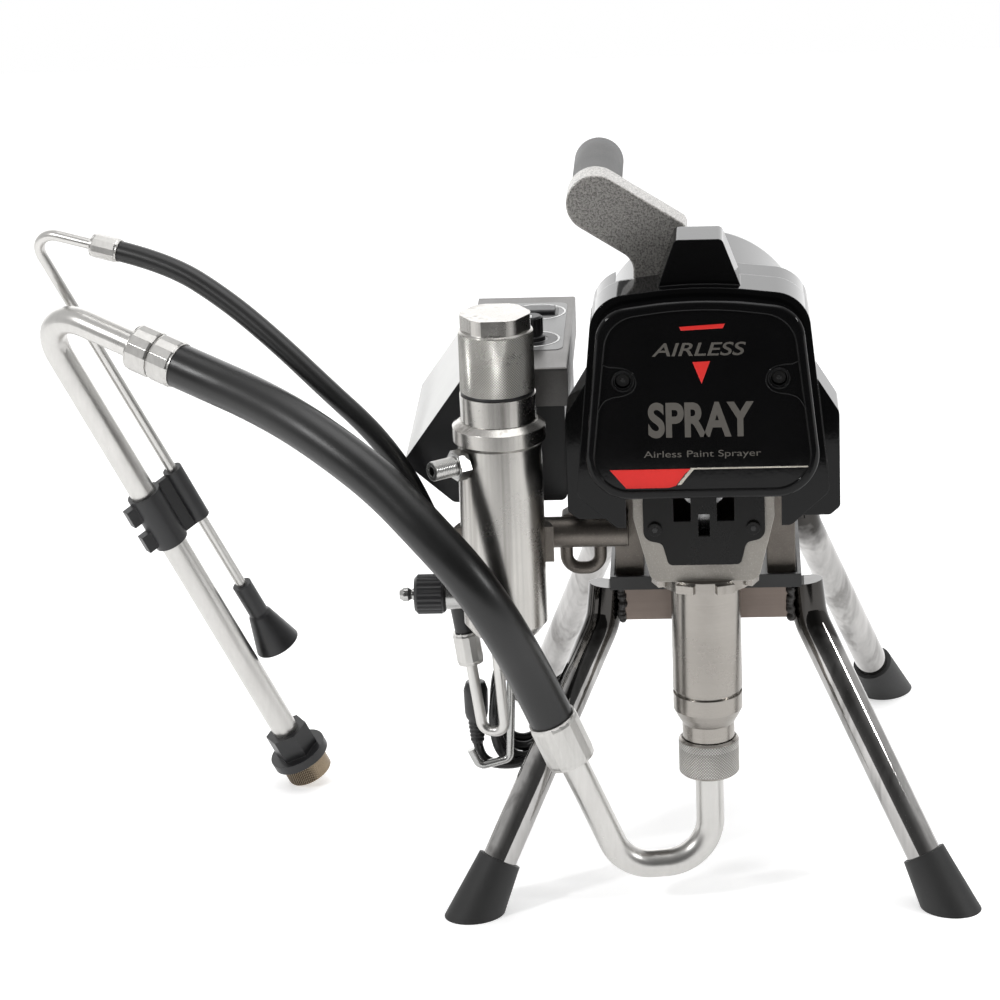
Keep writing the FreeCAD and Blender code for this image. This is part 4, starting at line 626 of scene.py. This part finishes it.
def knurled(name, foot, way, radius, start, end, finish, groove, body, slot, starts=72, pitch=0.0021, depth=0.0005):
    """A band cut with a diamond knurl, with painted shade in its grooves."""
    def depth_at(turn, along):
        lift = along / pitch
        return depth * (1 - min(ridge(turn * starts + lift), ridge(turn * starts - lift)) ** 0.8)

    rows = round((end - start) / pitch * 4)
    return carved(name, foot, way, radius, start, end, starts * 4, rows, depth_at, finish, body, slot, groove=groove)


def fluted(name, foot, way, radius, start, end, count, depth, finish, body, slot):
    """A band with grooves along it."""
    def depth_at(turn, along):
        return depth * (1 - ridge(turn * count) ** 0.6)

    return carved(name, foot, way, radius, start, end, count * 6, 2, depth_at, finish, body, slot)


RIM_CHAMFER = 0.0006


def faceted(name, foot, way, radius, start, end, count, finish, body, slot):
    """A band pressed into flats, the radius measured over their corners."""
    def depth_at(turn, along):
        share = (turn * count) % 1.0 - 0.5
        flat = radius * math.cos(math.pi / count) / math.cos(2 * math.pi / count * share)
        return radius - flat + (RIM_CHAMFER if along in (start, end) else 0.0)

    return carved(name, foot, way, radius, start, end, count * 4, 12, depth_at, finish, body, slot)


def threaded(name, foot, way, radius, start, end, pitch, depth, finish, body, slot):
    """A screw thread with plain crests and grooves."""
    def depth_at(turn, along):
        return depth * (1 - ridge(along / pitch - turn))

    rows = round((end - start) / pitch * 8)
    return carved(name, foot, way, radius, start, end, 48, rows, depth_at, finish, body, slot, smooth=True)


def prism(name, corners, origin, right, up, depth, finish, body, slot):
    """A flat plate from (right, up) corners, standing out from its origin by its depth."""
    outward = right.cross(up).normalized()
    count = len(corners)
    back = [origin + right * a + up * b for a, b in corners]
    points = back + [p + outward * depth for p in back]
    faces = [tuple(range(count)), tuple(range(count, 2 * count))]
    faces += [(i, (i + 1) % count, (i + 1) % count + count, i + count) for i in range(count)]
    return show(name, mesh_of(name, points, faces), finish, body, slot, smooth=False)


def rounded_corners(low_a, low_b, high_a, high_b, radius, steps=6):
    """The corners of a rectangle with rounded corners."""
    corners = []
    for a, b, turn in ((high_a - radius, high_b - radius, 0), (low_a + radius, high_b - radius, 90),
                       (low_a + radius, low_b + radius, 180), (high_a - radius, low_b + radius, 270)):
        for i in range(steps + 1):
            angle = math.radians(turn + 90 * i / steps)
            corners.append((a + radius * math.cos(angle), b + radius * math.sin(angle)))
    return corners


def strip(name, points, radius, finish, body):
    """A thin round bead laid along a line of points."""
    curve = route_curve(name, points, radius)
    curve.bevel_resolution = 3
    curve.resolution_u = 6
    curve.materials.append(finish.material)
    thing = bpy.data.objects.new(name, curve)
    bpy.context.scene.collection.objects.link(thing)
    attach(thing, body)
    return thing


def ring(name, centre, axis, radius, width, lift, finish, body, slot):
    """A flat ring that stands a little proud of the surface it is on."""
    inner = radius - width
    profile = [(inner, 0.0), (radius, 0.0), (radius, lift), (inner, lift)]
    return show(name, turned_mesh(name, centre, axis, profile, 64), finish, body, slot, smooth=False)


def lettering(name, words, centre, height, width, finish, body, slot, slant=0.0, stroke=0.0):
    """Words printed on the front cover, fitted to a width and height about their middle."""
    text = bpy.data.curves.new(name, "FONT")
    text.body = words
    text.size = 1.0
    text.shear = slant
    text.offset = stroke
    holder = bpy.data.objects.new(name, text)
    bpy.context.scene.collection.objects.link(holder)
    bpy.context.view_layer.update()
    flat = bpy.data.meshes.new_from_object(holder)
    bpy.data.objects.remove(holder)
    across_all = [v.co.x for v in flat.vertices]
    up_all = [v.co.y for v in flat.vertices]
    wide = width / (max(across_all) - min(across_all))
    tall = height / (max(up_all) - min(up_all))
    mid_x = (max(across_all) + min(across_all)) / 2
    mid_y = (max(up_all) + min(up_all)) / 2
    for v in flat.vertices:
        v.co = centre + Vector(((v.co.x - mid_x) * wide, 0, (v.co.y - mid_y) * tall))
    flat.materials.clear()
    return show(name, flat, finish, body, slot, smooth=False)


def lumps(name, places, radius, finish, body, slot):
    """A row of small overlapping rounded lumps, as in a weld bead."""
    shape = bmesh.new()
    for place, size in places:
        bmesh.ops.create_icosphere(shape, subdivisions=2, radius=radius * size, matrix=Matrix.Translation(place))
    mesh = bpy.data.meshes.new(name)
    shape.to_mesh(mesh)
    shape.free()
    return show(name, mesh, finish, body, slot)


def route_curve(name, points, radius):
    """A smooth round tube that follows a route."""
    curve = bpy.data.curves.new(name, "CURVE")
    curve.dimensions = "3D"
    spline = curve.splines.new("NURBS")
    spline.points.add(len(points) - 1)
    for target, point in zip(spline.points, points):
        target.co = (*point, 1.0)
    spline.order_u = 3
    spline.use_endpoint_u = True
    spline.resolution_u = 10
    curve.bevel_depth = radius
    curve.bevel_resolution = 7
    curve.use_fill_caps = True
    return curve


def show_cord(name, points, radius, finish, slot, replaced, **facts):
    curve = route_curve(name, points, radius)
    thing = bpy.data.objects.new(name, curve)
    curve.materials.append(finish.material)
    bpy.context.scene.collection.objects.link(thing)
    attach(thing, "machine")
    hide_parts(*replaced)
    tuple(points[0])
    return thing


def beyond(points, distance):
    run = (points[-1] - points[-2]).normalized()
    return points[-1] + run * distance


# ---------------------------------------------------------------- hoses and the power lead

HOSE_RADIUS = 0.016
THIN_HOSE_RADIUS = 0.0075
LEAD_RADIUS = 0.0035
elbow = [near(-0.062, -0.011, 0.030), near(-0.097, -0.024, 0.119)]
suction_route = [beyond(elbow, 0.036), beyond(elbow, 0.076), near(-0.142, -0.056, 0.234),
                 near(-0.163, -0.059, 0.270), near(-0.191, -0.0475, 0.299), near(-0.220, -0.0285, 0.325),
                 near(-0.252, -0.0105, 0.346), near(-0.2845, 0.0116, 0.362), near(-0.317, 0.037, 0.372),
                 near(-0.345, 0.0557, 0.379), near(-0.371, 0.069, 0.387)]
drain_route = [near(-0.172, 0.026, 0.198), near(-0.176, 0.027, 0.228), near(-0.189, 0.028, 0.268),
               near(-0.207, 0.028, 0.312), near(-0.231, 0.031, 0.347), near(-0.264, 0.042, 0.376),
               near(-0.298, 0.059, 0.405), near(-0.335, 0.078, 0.432), near(-0.377, 0.096, 0.455),
               near(-0.414, 0.107, 0.462)]
show_cord("suction_hose_cover", suction_route, HOSE_RADIUS, hose_black, "hose_rubber", ["suction_hose"],
          length=0.412, far_end="object", stiffness="stiff", lay="hanging")
show_cord("drain_hose_cover", drain_route, THIN_HOSE_RADIUS, hose_black, "hose_rubber", ["drain_hose"],
          length=0.395, far_end="object", stiffness="stiff", lay="hanging")

lead_route = [
    near(-0.142, 0.066, 0.262), near(-0.142, 0.065, 0.243), near(-0.139, 0.060, 0.222), near(-0.136, 0.053, 0.201),
    near(-0.134, 0.0495, 0.182),
    # first turn, then back a cord's width with each turn that follows
    near(-0.127, 0.0495, 0.165), near(-0.119, 0.0495, 0.149), near(-0.1165, 0.0495, 0.130),
    near(-0.117, 0.0495, 0.112), near(-0.1215, 0.050, 0.098), near(-0.1315, 0.0505, 0.0905),
    near(-0.1425, 0.051, 0.0915), near(-0.152, 0.052, 0.101), near(-0.1555, 0.053, 0.117),
    near(-0.155, 0.054, 0.137), near(-0.1525, 0.055, 0.155), near(-0.1455, 0.056, 0.1685),
    near(-0.1355, 0.0568, 0.1725), near(-0.1245, 0.057, 0.167), near(-0.1175, 0.0571, 0.152),
    near(-0.1165, 0.0572, 0.133), near(-0.1175, 0.0574, 0.113), near(-0.1235, 0.0578, 0.100),
    near(-0.134, 0.0585, 0.0945), near(-0.145, 0.0592, 0.0975), near(-0.153, 0.0602, 0.109),
    near(-0.1553, 0.0615, 0.127), near(-0.1535, 0.0628, 0.147), near(-0.1475, 0.0638, 0.1635),
    near(-0.137, 0.0642, 0.170), near(-0.126, 0.0644, 0.1665), near(-0.1185, 0.0645, 0.154),
    near(-0.1165, 0.0646, 0.136), near(-0.1178, 0.0648, 0.1165), near(-0.1245, 0.0652, 0.103),
    near(-0.135, 0.0658, 0.098), near(-0.1455, 0.0666, 0.101), near(-0.153, 0.0676, 0.1125),
    near(-0.155, 0.0688, 0.131), near(-0.1525, 0.0698, 0.150), near(-0.145, 0.0703, 0.1625),
    near(-0.135, 0.0704, 0.167), near(-0.125, 0.0704, 0.162), near(-0.1185, 0.0704, 0.149),
    near(-0.1165, 0.0702, 0.131), near(-0.118, 0.0690, 0.113), near(-0.124, 0.0645, 0.097),
    # the last turn crosses under the others to the front
    near(-0.1335, 0.0565, 0.0885), near(-0.144, 0.0485, 0.0885), near(-0.152, 0.0435, 0.0975),
    near(-0.1555, 0.0418, 0.114), near(-0.155, 0.0415, 0.134), near(-0.151, 0.0415, 0.152),
    near(-0.1425, 0.0415, 0.1635), near(-0.132, 0.0415, 0.1655), near(-0.122, 0.0415, 0.158),
    near(-0.1168, 0.0415, 0.142), near(-0.1165, 0.0416, 0.124), near(-0.1195, 0.0418, 0.107),
    near(-0.127, 0.0420, 0.0945), near(-0.138, 0.0424, 0.0885), near(-0.150, 0.0432, 0.0875),
    near(-0.1605, 0.0445, 0.089), near(-0.1665, 0.0456, 0.0955), near(-0.1678, 0.046, 0.1045)]


def lead_relief():
    """The ribbed sleeve where the lead leaves the box."""
    profile = [(LEAD_RADIUS, 0.0), (0.0048, 0.0)]
    for i in range(6):
        foot = 0.0015 + 0.0034 * i
        thick = 0.0050 + 0.0002 * i
        profile += [(thick - 0.0004, foot), (thick + 0.0006, foot + 0.0006), (thick + 0.0006, foot + 0.0021),
                    (thick - 0.0004, foot + 0.0027)]
    profile += [(0.0062, 0.0225), (LEAD_RADIUS, 0.0225)]
    mesh = turned_mesh("lead_relief", near(-0.142, 0.066, 0.2615), UP, profile, 40)
    return show("lead_relief", mesh, satin_black, "machine", "black_plastic")


def plug_cover():
    """The plug: a ribbed neck that widens to a moulded head."""
    foot = near(-0.1678, 0.046, 0.104)
    profile = [(0.0012, 0.0), (0.0040, 0.0)]
    for i in range(5):
        along = 0.0015 + 0.0032 * i
        profile += [(0.0041 + 0.0003 * i, along), (0.0050 + 0.0003 * i, along + 0.0006),
                    (0.0050 + 0.0003 * i, along + 0.0018), (0.0041 + 0.0003 * i, along + 0.0024)]
    profile += [(0.0075, 0.0200), (0.0084, 0.0240), (0.0088, 0.0410), (0.0070, 0.0470), (0.0012, 0.0474)]
    mesh = turned_mesh("plug_cover", foot, UP, profile, 40)
    return show("plug_cover", mesh, satin_black, "machine", "black_plastic")


relief = lead_relief()
plug = plug_cover()
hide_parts("power_plug")
show_cord("power_lead", lead_route, LEAD_RADIUS, lead_black, "cord_cover", ["power_cord", "cord_hank"],
          length=0.97, far_end="plug", stiffness="medium", lay="coiled", with_pieces=[plug, relief])


# ---------------------------------------------------------------- filter manifold

MANIFOLD = near(-0.141, 0, 0)
OUTLET_HEIGHT = 0.338
PRIME_HEIGHT = 0.236
OUTLET_TURN = math.radians(37)
outlet_way = Vector((-math.cos(OUTLET_TURN), -math.sin(OUTLET_TURN), 0))
# The knurl's darker grooves are painted shade.
knurled("cap_knurl", MANIFOLD, UP, 0.0261, 0.3866, 0.4285, knurl_alloy, knurl_groove_shade, "filter_cap",
        "turned_aluminium", starts=84, pitch=0.0019, depth=0.00045)
show("cap_gap", turned_mesh("cap_gap", MANIFOLD, UP, [(0.022, 0.3841), (0.0257, 0.3841), (0.0257, 0.3862),
                                                      (0.022, 0.3862)]), satin_black, "machine", "polymer_seal")
threaded("outlet_thread", MANIFOLD + UP * OUTLET_HEIGHT, outlet_way, 0.0070, 0.0395, 0.0566, 0.00141, 0.0006,
         knurl_steel, "machine", "zinc")
fluted("prime_knob_grip", MANIFOLD + UP * PRIME_HEIGHT, LEFT, 0.0142, 0.0445, 0.0615, 22, 0.0009, satin_black,
       "prime_handle", "black_plastic")


# ---------------------------------------------------------------- pump

PUMP = near(0, 0, 0)
# The knurl's darker grooves are painted shade.
knurled("nut_knurl", PUMP, UP, 0.0216, 0.1000, 0.1235, knurl_steel, knurl_groove_shade, "hose_nut", "pump_steel",
        starts=66, pitch=0.0021, depth=0.0006)


# ---------------------------------------------------------------- ferrules and strainer

def ferrule(name, foot, end, radius, count, waist, finish, slot):
    """Flats pressed round a ferrule, with a plain waist when it has one."""
    run = end - foot
    bands = ((0.02, 0.485), (0.515, 0.98)) if waist else ((0.03, 0.97),)
    for i, (start, stop) in enumerate(bands):
        faceted("%s_%d" % (name, i + 1), foot, run, radius, run.length * start, run.length * stop, count,
                finish, "machine", slot)


ferrule("lower_ferrule_flats", elbow[1], suction_route[0], 0.0179, 16, False, crimped_alloy, "zinc")
ferrule("upper_ferrule_flats", suction_route[-1], beyond(suction_route, 0.038), 0.0173, 16, True,
        crimped_alloy, "zinc")
ferrule("drain_ferrule_flats", beyond(drain_route[1::-1], 0.024), drain_route[0], 0.0096, 12, False,
        crimped_alloy, "zinc")
ferrule("drain_upper_ferrule_flats", drain_route[-1], beyond(drain_route, 0.021), 0.0088, 12, False,
        crimped_alloy, "zinc")


PIPE_KNEE = 0.137
STRAINER_RADIUS = 0.0175
STRAINER_CUP = 0.016


def strainer_weave():
    """The woven wire round the strainer's cup, with painted shade in the gaps between the wires."""
    knee = beyond(suction_route, PIPE_KNEE)
    spot = near(-0.312, 0.229, 0)
    along = (spot - knee).normalized()
    seat = spot + UP * STRAINER_RADIUS * math.sqrt(1 - along.z ** 2) - along * STRAINER_CUP
    knurled("strainer_weave", seat, along, 0.0178, 0.0002, 0.0154, wire_mesh, wire_gap_shade, "machine", "mesh",
            starts=54, pitch=0.0021, depth=0.0005)


strainer_weave()


# ---------------------------------------------------------------- control box

BOX_TOP = 0.386
LABEL_LIFT = 0.0003


def split_box_colours():
    """The sloping side is light grey, and the rest of the box is black."""
    box = nodes["control_box"]
    box.data.materials.append(satin_black.material)
    for face in box.data.polygons:
        normal = box.matrix_world.to_3x3() @ face.normal
        if not (normal.x < -0.5 and normal.z > 0.1):
            face.material_index = 1


def control_labels():
    top = near(0, 0, BOX_TOP)
    knob = near(-0.122, 0.120, BOX_TOP)
    switch = near(-0.120, 0.190, BOX_TOP)
    prism("control_label", rounded_corners(-0.151, 0.092, -0.099, 0.214, 0.007), top, RIGHT, BACK, LABEL_LIFT,
          label_grey, "machine", "brushed_cover")
    lift = UP * LABEL_LIFT
    ring("knob_ring_outer", knob + lift, UP, 0.0205, 0.0016, 0.0002, print_white, "machine", "brushed_cover")
    ring("knob_field", knob + lift, UP, 0.0186, 0.0070, 0.0002, satin_black, "machine", "brushed_cover")
    ring("switch_ring", switch + lift, UP, 0.0205, 0.0014, 0.0002, print_white, "machine", "brushed_cover")
    prism("switch_frame", rounded_corners(-0.0150, -0.0102, 0.0150, 0.0102, 0.002), switch + lift, RIGHT, BACK,
          0.0002, satin_black, "machine", "black_plastic")
    prism("switch_mark", rounded_corners(-0.0035, 0.0125, 0.0035, 0.0150, 0.001), switch + lift, RIGHT, BACK,
          0.0003, print_red, "machine", "red_plastic")
    pointer = near(-0.122, 0.1135, BOX_TOP + 0.0180)
    prism("knob_pointer", rounded_corners(-0.0006, -0.0005, 0.0006, 0.0060, 0.0004), pointer, RIGHT, BACK,
          0.0003, print_white, "pressure_dial", "black_plastic")


split_box_colours()
control_labels()
fluted("pressure_knob_grip", near(-0.122, 0.120, BOX_TOP), UP, 0.0084, 0.0045, 0.0168, 18, 0.0007, satin_black,
       "pressure_dial", "black_plastic")


# ---------------------------------------------------------------- front cover and guard

COVER_FACE_Y = -0.0458
PRINT_LIFT = 0.0002
BAND_LIFT = 0.0003
COVER_SCREW_X, COVER_SCREW_Z = 0.053, 0.404
GUARD_SCREW_X, GUARD_SCREW_Z = 0.034, 0.292
SOCKET_RADIUS = 0.0021


def on_cover(x, z):
    return near(x, COVER_FACE_Y, z)


def cover_print():
    """Generic words and plain coloured shapes, each a thin layer on the cover."""
    raised = FRONT * PRINT_LIFT
    lettering("cover_word_top", "AIRLESS", on_cover(-0.001, 0.4255) + raised, 0.0095, 0.064,
              print_grey, "machine", "gloss_black", slant=0.25, stroke=0.012)
    lettering("cover_word_large", "SPRAY", on_cover(-0.0005, 0.3755) + raised, 0.0255, 0.072,
              print_grey, "machine", "gloss_black", stroke=0.035)
    lettering("cover_word_small", "Airless Paint Sprayer", on_cover(0.000, 0.3505) + raised, 0.0062,
              0.080, print_grey, "machine", "gloss_black")
    shapes = (
        ("cover_chevron", PRINT_LIFT, print_red, "red_plastic",
         [(-0.0140, 0.4415), (0.0170, 0.4432), (0.0155, 0.4400), (-0.0128, 0.4388)]),
        ("cover_drop", PRINT_LIFT, print_red, "red_plastic",
         [(-0.0055, 0.4165), (0.0065, 0.4170), (0.0005, 0.4010)]),
        ("cover_red_block", BAND_LIFT, print_red, "red_plastic",
         [(-0.0635, 0.3405), (-0.0080, 0.3405), (-0.0120, 0.3372), (-0.0185, 0.3285), (-0.0235, 0.3270),
          (-0.0525, 0.3270)]),
        ("cover_silver_line", BAND_LIFT, print_silver, "brushed_cover",
         [(-0.0080, 0.3411), (0.0720, 0.3411), (0.0720, 0.3401), (-0.0060, 0.3401), (-0.0150, 0.3290),
          (-0.0175, 0.3290)]))
    for name, lift, finish, slot, corners in shapes:
        prism(name, corners, near(0, COVER_FACE_Y, 0) + raised, RIGHT, UP, lift, finish, "machine", slot)


def cover_mouldings():
    for side, hand in ((-1, "left"), (1, "right")):
        line = ((0.0700, 0.4180), (0.0640, 0.4140), (0.0560, 0.4136), (0.0480, 0.4118), (0.0435, 0.4045),
                (0.0455, 0.3970), (0.0520, 0.3935), (0.0610, 0.3925), (0.0680, 0.3890), (0.0715, 0.3800))
        strip("cover_moulding_" + hand, [on_cover(side * x, z) for x, z in line], 0.0006, gloss_black,
              "machine")
        hub = near(side * COVER_SCREW_X, COVER_FACE_Y, COVER_SCREW_Z)
        ring("screw_recess_" + hand, hub, FRONT, 0.0078, 0.0012, 0.0007, gloss_black, "machine", "gloss_black")


def screw_socket_shades():
    """A flat dark hexagon on each button head: painted shade standing for the hollow of its hex socket."""
    turns = [math.radians(60 * i) for i in range(6)]
    corners = [(SOCKET_RADIUS * math.cos(turn), SOCKET_RADIUS * math.sin(turn)) for turn in turns]
    for row, x, y, z in (("low", GUARD_SCREW_X, -0.0331, GUARD_SCREW_Z),
                         ("high", COVER_SCREW_X, -0.0436, COVER_SCREW_Z)):
        for side, hand in ((-1, "left"), (1, "right")):
            # Each hexagon is painted shade, not a cut socket.
            prism("screw_socket_%s_%s" % (hand, row), corners, near(side * x, y, z), RIGHT, UP, 0.0002, lead_black,
                  "machine", "black_steel")


cover_print()
cover_mouldings()
screw_socket_shades()


# ---------------------------------------------------------------- welds on the stand

BAR_DEPTH = 0.022
BAR_FRONTS = ((0.038, "front"), (0.250, "rear"))
BEAD_RADIUS = 0.0031
BEAD_STEP = 0.0029


def welds():
    """Beads up both corners of each crossbar's ends, where it meets the legs."""
    for y, end in BAR_FRONTS:
        places = []
        for side in (-1, 1):
            for edge in (0.0, BAR_DEPTH):
                for i in range(9):
                    wobble = 0.0006 * math.sin(5.1 * i + 2.3 * side + 40 * edge)
                    place = near(side * (0.0600 + wobble), y + edge + (0.0004 if edge else -0.0004),
                                 0.2005 + BEAD_STEP * i)
                    places.append((place, 1.0 + 0.18 * math.sin(3.7 * i + side)))
        lumps("weld_beads_" + end, places, BEAD_RADIUS, weld_metal, "machine", "black_steel")


welds()


# ---------------------------------------------------------------- studio


studio()
